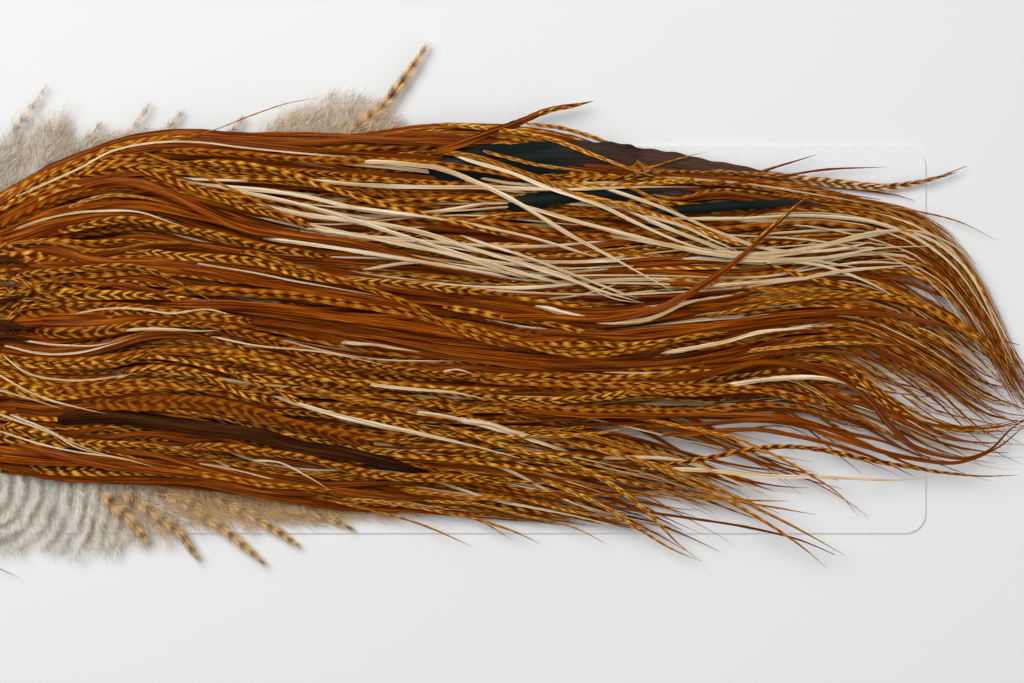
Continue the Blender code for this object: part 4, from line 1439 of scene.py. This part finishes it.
@dataclass
class LongHackles:
    """The long saddle hackles that flow over the card, strewn along the lie of the pelt."""

    lie: Lie
    rings: int = 56
    samples: int = 260
    seed: int = 5
    first_root: float = -265.0
    last_root: float = 55.0
    short_share: float = 0.46
    gathered_from: float = 640.0

    def parted(self, columns: np.ndarray, heights: np.ndarray) -> np.ndarray:
        """Moves hackles aside where the card shows between them.

        Args:
            columns: picture x of each hackle's samples.
            heights: picture y of each hackle's samples.

        Returns:
            The moved picture y.
        """
        moved = heights.copy()
        for x, y, half_length, half_height in OPENINGS:
            passing = np.array([np.interp(x, line, height) for line, height in zip(columns, heights)])
            away = passing - y
            push = np.sign(away) * half_height * np.exp(-np.abs(away) / (2.4 * half_height))
            moved += push[:, None] * np.exp(-(((columns - x) / half_length) ** 2))
        return moved

    def strands(self, kind: Kind) -> Strands:
        """Strews the hackles of one kind.

        Args:
            kind: the kind of hackle.

        Returns:
            Their strands.
        """
        chance = np.random.default_rng(self.seed + list(Kind).index(kind) * 101)
        count = LONG_COUNTS[kind]
        start_row = (np.arange(count) + chance.uniform(0.0, 1.0, count)) / count
        chance.shuffle(start_row)
        drift = chance.normal(0.0, 0.05, count) + (0.07 if kind is Kind.CREAM else 0.0)
        start = chance.uniform(self.first_root, self.last_root, count)
        last_row = np.clip(start_row + drift, 0.0, 1.0)
        far = np.interp(last_row, *LONGEST_BY_ROW)
        short = chance.random(count) < self.short_share
        much_shorter = chance.uniform(110.0, 420.0, count)
        end = far - np.where(short, much_shorter, chance.uniform(0.0, 100.0, count))
        t = np.linspace(0.0, 1.0, self.samples)[None, :]
        columns = start[:, None] + (end - start)[:, None] * t
        wander = chance.uniform(0.0, 2 * math.pi, (count, 3))
        rows = start_row[:, None] + drift[:, None] * t**1.2
        rows = rows + 0.012 * np.sin(t * 9.0 + wander[:, :1]) + 0.006 * np.sin(t * 21.0 + wander[:, 1:2])
        rows = np.clip(rows, 0.015, 0.995)
        locks = np.array(LOCK_ROWS)
        own_lock = locks[np.argmin(np.abs(rows[:, -1:] - locks[None, :]), axis=1)]
        gathering = 0.66 * np.clip((columns - self.gathered_from) / 230.0, 0.0, 1.0) ** 1.4
        rows = rows + (own_lock[:, None] - rows[:, -1:]) * gathering
        ys = self.lie.heights(rows, columns)
        inner = 1.0 - np.abs(2.0 * rows - 1.0) ** 5
        waves = 2.4 * np.sin(columns / 47.0 + rows * 31.0) + 2.0 * np.sin(columns / 83.0 - rows * 43.0)
        ys = ys + inner * waves
        middle = 0.5 * (self.lie.table[0].mean() + self.lie.table[-1].mean())
        root_pull = 0.22 * np.clip(1.0 - t / 0.12, 0.0, 1.0) ** 1.5
        ys = ys + (middle - ys) * root_pull
        ys = self.parted(columns, ys)
        stray = chance.normal(0.0, np.interp(last_row, *STRAY_BY_ROW))[:, None]
        ys = ys + stray * np.clip((t - 0.72) / 0.28, 0.0, 1.0) ** 2
        own_rank = chance.random(count)[:, None]
        standing = standing_of(kind, columns, ys)
        rank = 0.08 + 0.60 * own_rank + 0.30 * standing + 0.03 * np.sin(t * 14.0 + wander[:, 2:])
        rank = np.clip(rank, 0.02, 1.0)
        heights = PELT_FLOOR + LEAST_HEIGHT + self.lie.pile(rows, columns) * rank
        rising = np.clip(t / 0.09, 0.0, 1.0)
        heights = HIDE_TOP + (heights - HIDE_TOP) * rising**0.8
        places = evenly(to_part(columns, ys, np.maximum(heights, HIDE_TOP * 0.6)), self.rings)
        amount = np.linspace(0.0, 1.0, self.rings)[None, :]
        width = chance.uniform(*LONG_WIDTHS[kind], count)
        slimmer = np.interp(start_row, [0.0, 0.2, 0.8, 1.0], [0.85, 1.0, 1.0, 0.85])
        uneven = 1.0 + 0.10 * np.sin(amount * 90.0 + wander[:, :1]) * np.sin(amount * 37.0 + wander[:, 1:2])
        half_widths = 0.5 * (width * slimmer)[:, None] * hackle_width(amount, 0.78, 0.08) * uneven
        rolls = 0.55 * np.sin(amount * 7.0 + wander[:, :1]) + 0.35 * np.sin(amount * 16.0 + wander[:, 1:2])
        styles = np.array([BAR_STYLES["ladder"], BAR_STYLES["wheat"], BAR_STYLES["dashes"]])
        bars = styles[chance.choice(3, count, p=[0.30, 0.40, 0.30])]
        bars[:, 0] *= chance.uniform(0.85, 1.2, count)
        sags = chance.uniform(0.3, 0.9, count)
        return Strands(places, half_widths, rolls, sags, chance.random(count), bars)


@dataclass
class TracedHackles:
    """The feathers that show by themselves on top of the pelt."""

    lie: Lie
    rings: int = 110
    samples: int = 300
    seed: int = 23

    def strands(self, kind: Kind) -> Strands:
        """Builds the traced feathers of one kind.

        Args:
            kind: the kind of feather.

        Returns:
            Their strands.
        """
        chance = np.random.default_rng(self.seed + list(Kind).index(kind) * 13)
        traced = [feather for feather in TRACED if feather.kind is kind]
        amount = np.linspace(0.0, 1.0, self.rings)
        centres = []
        widths = []
        bars = []
        for feather in traced:
            knots = np.array(feather.points, float)
            reach = np.concatenate([[0.0], np.cumsum(np.hypot(*np.diff(knots, axis=0).T))])
            fine = np.linspace(0.0, reach[-1], self.samples)
            xs, ys = curve_through(knots, reach, fine)
            rows = self.lie.rows(xs, ys)
            t = fine / reach[-1]
            dive = np.clip(1.0 - t / 0.12, 0.0, 1.0) ** 2 * 0.40
            if feather.end is End.UNDER:
                dive = dive + np.clip((t - 0.84) / 0.16, 0.0, 1.0) ** 2 * 0.45
            rank = np.maximum(feather.level * 0.97 + 0.05 * chance.random() - dive, 0.1)
            heights = PELT_FLOOR + LEAST_HEIGHT + self.lie.pile(rows, xs) * rank
            centres.append(evenly(to_part(xs, ys, heights)[None], self.rings)[0])
            tip_from = 0.62 if feather.end is End.TIP else 0.999
            profile = hackle_width(amount, tip_from)
            if feather.end is End.UNDER:
                profile = profile * (1.0 - 0.7 * np.clip((amount - 0.88) / 0.12, 0.0, 1.0))
            widths.append(0.5 * feather.width * PIXEL * SHOWN_WIDTHS.get(kind, 1.0) * profile)
            bars.append(BAR_STYLES[feather.bars])
        count = len(traced)
        wander = chance.uniform(0.0, 2 * math.pi, (count, 2))
        uneven = 1.0 + 0.09 * np.sin(amount * 70.0 + wander[:, :1]) * np.sin(amount * 31.0 + wander[:, 1:])
        turning = 0.4 if kind is Kind.SHEEN else 1.0
        twist = 0.34 * np.sin(amount * 6.0 + wander[:, :1]) + 0.2 * np.sin(amount * 17.0 + wander[:, 1:])
        half_widths = np.array(widths) * uneven
        sags = chance.uniform(0.3, 0.7, count)
        numbers = chance.random(count)
        return Strands(np.array(centres), half_widths, turning * twist, sags, numbers, np.array(bars))


@dataclass
class FrontHackles:
    """The short hackles that cover the front of the hide like shingles."""

    lie: Lie
    rings: int = 40
    samples: int = 80
    count: int = 150
    seed: int = 41
    first_root: float = -296.0
    last_root: float = -40.0

    def strands(self, kind: Kind, share: float) -> Strands:
        """Strews the short hackles of one kind.

        Args:
            kind: the kind of hackle.
            share: its share of the count.

        Returns:
            Their strands.
        """
        chance = np.random.default_rng(self.seed + list(Kind).index(kind) * 17)
        count = round(self.count * share)
        start = chance.uniform(self.first_root, self.last_root, count)
        start_row = chance.uniform(0.03, 0.97, count)
        usual = np.interp(start, [self.first_root, self.last_root], [120.0, 300.0])
        length = usual * chance.uniform(0.8, 1.2, count)
        t = np.linspace(0.0, 1.0, self.samples)[None, :]
        columns = start[:, None] + length[:, None] * t
        rows = start_row[:, None] + (start_row[:, None] - 0.5) * 0.05 * t + 0.01 * np.sin(t * 6.0)
        rows = np.clip(rows, -0.01, 1.01)
        ys = self.lie.heights(rows, columns)
        rising = 0.45 * (start[:, None] + 300.0) / 260.0 * chance.uniform(0.7, 1.0, (count, 1))
        rank = np.clip(0.55 + rising, 0.0, 1.0)
        heights = PELT_FLOOR + LEAST_HEIGHT + self.lie.pile(rows, columns) * rank
        heights = HIDE_TOP + (heights - HIDE_TOP) * np.clip(t / 0.3, 0.0, 1.0)
        places = evenly(to_part(columns, ys, np.maximum(heights, HIDE_TOP * 0.6)), self.rings)
        amount = np.linspace(0.0, 1.0, self.rings)[None, :]
        wander = chance.uniform(0.0, 2 * math.pi, (count, 2))
        half_widths = 0.5 * chance.uniform(3.2, 5.0, count)[:, None] * MM * hackle_width(amount, 0.45)
        rolls = 0.25 * np.sin(amount * 4.0 + wander[:, :1])
        bars = np.tile(np.array([BAR_STYLES["wheat"]]), (count, 1))
        sags = chance.uniform(0.2, 0.5, count)
        return Strands(places, half_widths, rolls, sags, chance.random(count), bars)


@dataclass(frozen=True)
class Plume:
    """One downy side feather: where it runs in the picture, and what its barbs are like.

    Tan goes from 0 for white to 1 for golden tan, order from 0 for barbs that bend every way to 1
    for barbs that all bend alike, and loose is how far the barbs leave the spine.
    """

    points: tuple[tuple[float, float], ...]
    barb_mm: float
    lift: float
    tan: float
    number: float
    barbs: int = 260
    order: float = 0.0
    loose: float = 1.0
    barb_width_mm: float = 0.1


# The picture point that the bands of the lower down curve around
FAN_CENTRE = (-16.0, 486.0)

# Side feathers whose golden barred ends stand out of the down: picture points, barb length in mm
SIDE_FEATHERS = (
    (((318, 158), (340, 146), (360, 126), (385, 104), (406, 76), (425, 48)), 7.5),
    (((8, 140), (26, 116), (47, 85)), 3.4),
    (((70, 160), (84, 146), (101, 124)), 3.0),
    (((120, 146), (134, 128), (150, 104)), 3.0),
    (((150, 146), (166, 130), (182, 113)), 3.0),
    (((222, 142), (232, 132), (242, 119)), 2.6),
    (((120, 492), (152, 512), (178, 532), (197, 557)), 6.0),
    (((150, 486), (192, 508), (232, 536), (262, 562)), 6.0),
    (((196, 488), (236, 506), (272, 528), (297, 545)), 5.4),
    (((236, 488), (280, 500), (318, 514), (352, 529)), 5.0),
    (((100, 492), (126, 516), (146, 540)), 6.0),
)

# Side feathers with longer barbs than this have a vane, and the others are wisps
WISP_BARB_MM = 4.0

# How far the down reaches past the pelt's upper and lower edges: picture x, and pixels at each
UPPER_REACH = ((-150.0, 0.0, 40.0, 80.0, 120.0, 160.0), (80.0, 66.0, 48.0, 16.0, 6.0, 2.0))
LOWER_REACH = ((-160.0, 40.0, 100.0, 160.0, 240.0, 330.0), (76.0, 92.0, 78.0, 52.0, 36.0, 12.0))

# The length in mm of the upper down's barbs: picture x, and the length at each
UPPER_BARBS = ((-150.0, 50.0, 110.0, 160.0), (10.0, 9.0, 5.5, 3.5))

# The tuft at the upper edge: picture x of its plumes, and picture y of its outline
TUFT_PLUMES = (268, 282, 296, 310, 322, 334, 346, 360, 374)
TUFT_OUTLINE = ((268, 300, 330, 350, 374), (118, 100, 96, 104, 122))

# Picture points of the plumes in the parting at the pelt's front
PARTING_PLUMES = ((-40, 286), (-20, 268), (6, 266), (30, 284), (4, 300), (20, 322), (-30, 306))

# How far over the floor each piece of down lies, as a share of the pile there
DOWN_LEVELS = {"upper_down": 0.06, "lower_down": 0.06, "middle_down": 1.02, "side_feathers": 0.06}


@dataclass
class DownTufts:
    """The down beside the pelt, as plumes whose every barb is a thin strip."""

    lie: Lie
    rings: int = 5
    seed: int = 61
    loose_pixels: float = 4.5

    def edge(self, row: float, x: float) -> float:
        """The picture y of a row of the pelt at picture x."""
        return float(self.lie.heights(np.array([row]), np.array([x]))[0])

    def side_feathers(self, chance: np.random.Generator) -> list[Plume]:
        """Makes the side feathers that stand out of the down."""
        found = []
        for points, barb_mm in SIDE_FEATHERS:
            lift = chance.uniform(1.0, 4.0) * MM
            number = chance.random()
            if barb_mm > WISP_BARB_MM:
                found.append(Plume(points, barb_mm, lift, 1.0, number, 620, 0.7, 0.0, 0.2))
            else:
                found.append(Plume(points, barb_mm * 1.4, lift * 0.3, 0.45, number, 200, 0.7, 0.3, 0.09))
        return found

    def upper_down(self, chance: np.random.Generator) -> list[Plume]:
        """Strews the down past the pelt's upper edge."""
        found = []
        for x in np.linspace(-150.0, 150.0, 34):
            usual = np.interp(x, *UPPER_REACH)
            barb_mm = float(np.interp(x, *UPPER_BARBS))
            x = x + chance.uniform(-8.0, 8.0)
            edge = self.edge(0.02, x)
            reach = usual * chance.uniform(0.75, 1.25)
            lean = chance.uniform(0.1, 0.9)
            points = ((x - 14, edge + 34), (x + 4 * lean, edge - reach * 0.35), (x + 36 * lean, edge - reach))
            lift = chance.uniform(0.0, 4.0) * MM
            tan = chance.uniform(0, 0.45)
            found.append(Plume(points, barb_mm, lift, tan, chance.random()))
        return found

    def lower_down(self, chance: np.random.Generator) -> list[Plume]:
        """Strews the down past the pelt's lower edge: a white fan that turns tan towards the right."""
        found = []
        for x in np.linspace(-160.0, 330.0, 62):
            usual = np.interp(x, *LOWER_REACH)
            x = x + chance.uniform(-8.0, 8.0)
            edge = self.edge(0.97, x)
            reach = usual * chance.uniform(0.84, 1.04)
            lean = chance.uniform(0.3, 0.9) + max(0.0, (x - 110.0) / 110.0)
            points = ((x - 22, edge - 30), (x + 6 * lean, edge + reach * 0.40), (x + 44 * lean, edge + reach))
            tan = float(np.clip((x - 84.0) / 80.0 + chance.uniform(-0.3, 0.3), 0.0, 1.0))
            lift = chance.uniform(0.0, 4.0) * MM
            found.append(Plume(points, 10.0, lift, tan, chance.random()))
        return found

    def tuft(self, chance: np.random.Generator) -> list[Plume]:
        """Makes the tuft of down under the large barred side feather."""
        found = []
        for x in TUFT_PLUMES:
            top = float(np.interp(x, *TUFT_OUTLINE))
            points = ((x - 20, 158), (x + 4, 132), (x + 24, top))
            lift = chance.uniform(0.0, 3.0) * MM
            found.append(Plume(points, 8.0, lift, 0.6, chance.random()))
        return found

    def parting(self, chance: np.random.Generator) -> list[Plume]:
        """Makes the wisps that show in the parting at the pelt's front."""
        found = []
        for x, y in PARTING_PLUMES:
            points = ((x - 34, y + chance.uniform(-6, 6)), (x, y), (x + 34, y + chance.uniform(-10, 10)))
            found.append(Plume(points, 4.0, 0.2 * MM, 0.3, chance.random(), 230))
        return found

    def plumes(self) -> dict[str, list[Plume]]:
        """Strews the plumes of each side of the pelt.

        Returns:
            The plumes by piece name.
        """
        chance = np.random.default_rng(self.seed)
        side_feathers = self.side_feathers(chance)
        upper_down = self.upper_down(chance)
        lower_down = self.lower_down(chance)
        upper_down += self.tuft(chance)
        return {
            "upper_down": upper_down,
            "lower_down": lower_down,
            "middle_down": self.parting(chance),
            "side_feathers": side_feathers,
        }

    def barbs(
        self, plume: Plume, chance: np.random.Generator, level: float, fanned: bool
    ) -> tuple[np.ndarray, np.ndarray, np.ndarray]:
        """Makes the barbs of one plume.

        Args:
            plume: the plume.
            chance: the piece's random draws.
            level: how far over the floor it lies, as a share of the pile there.
            fanned: whether its bands curve around the fan's centre.

        Returns:
            The points, and what the strand and bars attributes hold.
        """
        reach = np.linspace(0.0, 1.0, self.rings)[None, :]
        knots = np.array(plume.points, float)
        places = np.linspace(0, 1, len(knots))
        barbs = plume.barbs
        marks = np.sort(chance.uniform(0.02, 1.0, barbs))
        spine_x, spine_y = curve_through(knots, places, marks)
        later_x, later_y = curve_through(knots, places, marks + 0.01)
        aim = np.arctan2(later_y - spine_y, later_x - spine_x)
        side = np.where(chance.random(barbs) < 0.5, -1.0, 1.0)
        spread = np.radians(chance.uniform(28.0, 74.0, barbs)) * (1.0 - 0.55 * marks)
        length = plume.barb_mm * (1.0 - 0.62 * marks**2.2) * chance.uniform(0.55, 1.1, barbs) * MM / PIXEL
        bend = chance.normal(0.0, 0.42, (barbs, 1)) * (1.0 - plume.order)
        closing = side[:, None] * spread[:, None] * 0.75 * reach
        angle = (aim + side * spread)[:, None] - closing + bend * reach
        step = length[:, None] / (self.rings - 1)
        run_x = np.cumsum(np.cos(angle) * step, axis=1)
        run_y = np.cumsum(np.sin(angle) * step, axis=1)
        loose = chance.normal(0.0, self.loose_pixels, (2, barbs, 1)) * plume.loose
        xs = spine_x[:, None] + run_x - run_x[:, :1] + loose[0]
        ys = spine_y[:, None] + run_y - run_y[:, :1] + loose[1]
        base = self.lie.pile(self.lie.rows(spine_x, spine_y), spine_x) * level + plume.lift
        sunk = base[:, None] * (1.0 - 0.45 * reach) * (1.0 - 0.5 * marks[:, None])
        arch = chance.uniform(0.0, 2.2, (barbs, 1)) * MM * np.sin(reach * math.pi)
        heights = PELT_FLOOR + LEAST_HEIGHT + sunk + arch
        line = to_part(xs, ys, np.maximum(heights, CARD_TOP + LEAST_HEIGHT))
        across = np.stack([np.sin(angle), np.cos(angle), np.zeros_like(angle)], axis=-1)
        thinning = 1.0 - 0.85 * reach
        half = 0.5 * plume.barb_width_mm * MM * thinning * chance.uniform(0.7, 1.3, (barbs, 1))
        offset = across * half[..., None]
        spine_mm = marks * np.hypot(*(knots[-1] - knots[0])) * PIXEL / MM
        banded = spine_mm[:, None] + reach * length[:, None] * PIXEL / MM * 0.55
        if fanned:
            around = np.hypot(xs - FAN_CENTRE[0], ys - FAN_CENTRE[1]) * PIXEL / MM
            own = np.clip((knots[0][0] - 60.0) / 90.0, 0.0, 1.0)
            banded = around * (1.0 - own) + (banded + 40.0 * plume.number) * own
        values = np.empty((barbs, self.rings, 2, 3))
        values[..., 0] = banded[..., None]
        values[..., 1] = reach[..., None]
        values[..., 2] = plume.number
        bars = np.column_stack([marks, np.zeros(barbs), np.full(barbs, plume.tan)])
        return np.stack([line - offset, line + offset], axis=2), values, bars

    def build(self, name: str, plumes: list[Plume]) -> bpy.types.Object:
        """Makes the barbs of some plumes.

        Args:
            name: the piece's name.
            plumes: the plumes.

        Returns:
            The piece.
        """
        chance = np.random.default_rng(self.seed + len(name) * 7)
        fanned = name == "lower_down"
        made = [self.barbs(plume, chance, DOWN_LEVELS[name], fanned) for plume in plumes]
        points, strand, bars = (np.concatenate(part) for part in zip(*made))
        return join_ribbons(name, points, strand, bars)


# The dried hide's middle, half length and half width in metres, and the height of its parts
HIDE_MIDDLE_X = -0.1165
HIDE_HALF_LENGTH = 0.052
HIDE_HALF_WIDTH = 0.035
HIDE_LIFT = 0.5 * MM
HIDE_WAVES = 0.35 * MM
HIDE_CURL = 0.5 * MM
HIDE_THICKNESS = 0.4 * MM


@dataclass
class Saddle:
    """The whole pelt: long, traced and short hackles, the down and the hide."""

    lie: Lie = field(default_factory=Lie)

    def build(self) -> None:
        """Builds every piece of the pelt and dresses it."""
        long_hackles = LongHackles(self.lie)
        traced = TracedHackles(self.lie)
        front = FrontHackles(self.lie)
        for kind, finish in FINISHES.items():
            material = finish.material()
            if kind in LONG_COUNTS:
                strands = long_hackles.strands(kind)
                halves = np.array_split(np.arange(LONG_COUNTS[kind]), 2)
                for layer, picked in zip(("lower", "upper"), halves):
                    self.dress(self.ribbons(f"{layer}_{kind.value}", strands.chosen(picked)), material)
            self.dress(self.ribbons(f"single_{kind.value}", traced.strands(kind)), material)
            if kind in (Kind.BROWN, Kind.BARRED):
                self.dress(self.ribbons(f"front_{kind.value}", front.strands(kind, 0.5)), material)
        down = Down().material()
        tufts = DownTufts(self.lie)
        for name, plumes in tufts.plumes().items():
            self.dress(tufts.build(name, plumes), down)
        self.dress(self.hide(), DriedHide().material())

    def ribbons(self, name: str, strands: Strands) -> bpy.types.Object:
        """Makes one piece of hackles."""
        points, strand = vane_points(strands)
        return join_ribbons(name, points, strand, strands.bars)

    def dress(self, piece: bpy.types.Object, material: bpy.types.Material) -> None:
        """Gives a piece its material and its place in the frame, and reports it."""
        piece.data.materials.append(material)
        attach(piece, BODY)
        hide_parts(PELT)
        LOG.info("%s: %d faces", piece.name, len(piece.data.polygons))

    def hide(self) -> bpy.types.Object:
        """Makes the dried hide under the feathers' roots."""
        form = bmesh.new()
        bmesh.ops.create_grid(form, x_segments=60, y_segments=44, size=1.0)
        chance = np.random.default_rng(9)
        phases = chance.uniform(0.0, 6.28, 6)
        for point in form.verts:
            u, v = point.co.x, point.co.y
            u_round = u * math.sqrt(1.0 - 0.5 * v * v)
            v_round = v * math.sqrt(1.0 - 0.5 * u * u)
            x = HIDE_MIDDLE_X + HIDE_HALF_LENGTH * u_round * (1.0 + 0.03 * math.sin(7 * v + phases[0]))
            swell = (1.0 + 0.12 * u_round) * (1.0 + 0.04 * math.sin(9 * u + phases[1]))
            y = HIDE_HALF_WIDTH * v_round * swell
            wave = math.sin(90 * x + phases[2]) * math.sin(140 * y + phases[3])
            edge = max(abs(u), abs(v)) ** 8
            z = PELT_FLOOR + HIDE_LIFT + HIDE_WAVES * (1.0 + wave) * (1.0 - edge) + HIDE_CURL * edge
            point.co = (x, y, z)
        bmesh.ops.recalc_face_normals(form, faces=form.faces[:])
        mesh = bpy.data.meshes.new("dried_hide")
        form.to_mesh(mesh)
        form.free()
        mesh.shade_smooth()
        made = bpy.data.objects.new("dried_hide", mesh)
        bpy.context.scene.collection.objects.link(made)
        thickness = made.modifiers.new("hide thickness", "SOLIDIFY")
        thickness.thickness = HIDE_THICKNESS
        thickness.offset = -1.0
        return made


@dataclass
class Studio:
    """A pale floor, a soft overhead light with a fill, and the camera straight above."""

    floor_colour: str = "#E9EAEA"
    floor_half: float = 1.6
    key_watts: float = 11.2
    fill_watts: float = 2.4
    sky: float = 0.25

    def build(self) -> None:
        """Builds the floor, the lights and the camera."""
        self.floor()
        self.light("key_light", (-0.35, 0.45, 0.95), 0.75, self.key_watts)
        self.light("fill_light", (0.75, -0.35, 0.80), 0.9, self.fill_watts)
        world = bpy.data.worlds.new("studio")
        world.use_nodes = True
        background = world.node_tree.nodes["Background"]
        background.inputs[0].default_value = (1.0, 1.0, 1.0, 1.0)
        background.inputs[1].default_value = self.sky
        bpy.context.scene.world = world
        bpy.context.scene.view_settings.view_transform = "Standard"
        self.camera()

    def floor(self) -> None:
        """Makes the pale floor under the card."""
        form = bmesh.new()
        bmesh.ops.create_grid(form, x_segments=1, y_segments=1, size=self.floor_half)
        mesh = bpy.data.meshes.new("floor")
        form.to_mesh(mesh)
        form.free()
        floor = bpy.data.objects.new("floor", mesh)
        bpy.context.scene.collection.objects.link(floor)
        material, _, shader = new_material("matt white paper")
        shader.inputs["Base Color"].default_value = linear(self.floor_colour)
        shader.inputs["Roughness"].default_value = 0.9
        mesh.materials.append(material)

    def light(self, name: str, place: tuple[float, float, float], size: float, watts: float) -> None:
        """Hangs a square soft light that looks at the middle of the pelt."""
        lamp = bpy.data.lights.new(name, "AREA")
        lamp.shape = "SQUARE"
        lamp.size = size
        lamp.energy = watts
        made = bpy.data.objects.new(name, lamp)
        made.location = place
        aim = Vector((0.07, 0.0, 0.0)) - Vector(place)
        made.rotation_euler = aim.to_track_quat("-Z", "Y").to_euler()
        bpy.context.scene.collection.objects.link(made)

    def camera(self) -> None:
        """Sets the camera over the picture's middle, looking straight down."""
        lens = bpy.data.cameras.new("camera")
        lens.lens = CAMERA_LENS
        lens.sensor_width = SENSOR_WIDTH
        lens.clip_start = 0.05
        made = bpy.data.objects.new("camera", lens)
        made.location = (MIDDLE_X, MIDDLE_Y, CAMERA_HEIGHT)
        bpy.context.scene.collection.objects.link(made)
        bpy.context.scene.camera = made


def main() -> None:
    """Builds the saddle and the studio in order."""
    logging.basicConfig(level=logging.INFO, format="%(name)s: %(message)s")
    card = bpy.data.objects[CARD]
    card.data.materials.clear()
    card.data.materials.append(CoatedCard().material())
    Saddle().build()
    Studio().build()


if __name__ == "__main__":
    main()
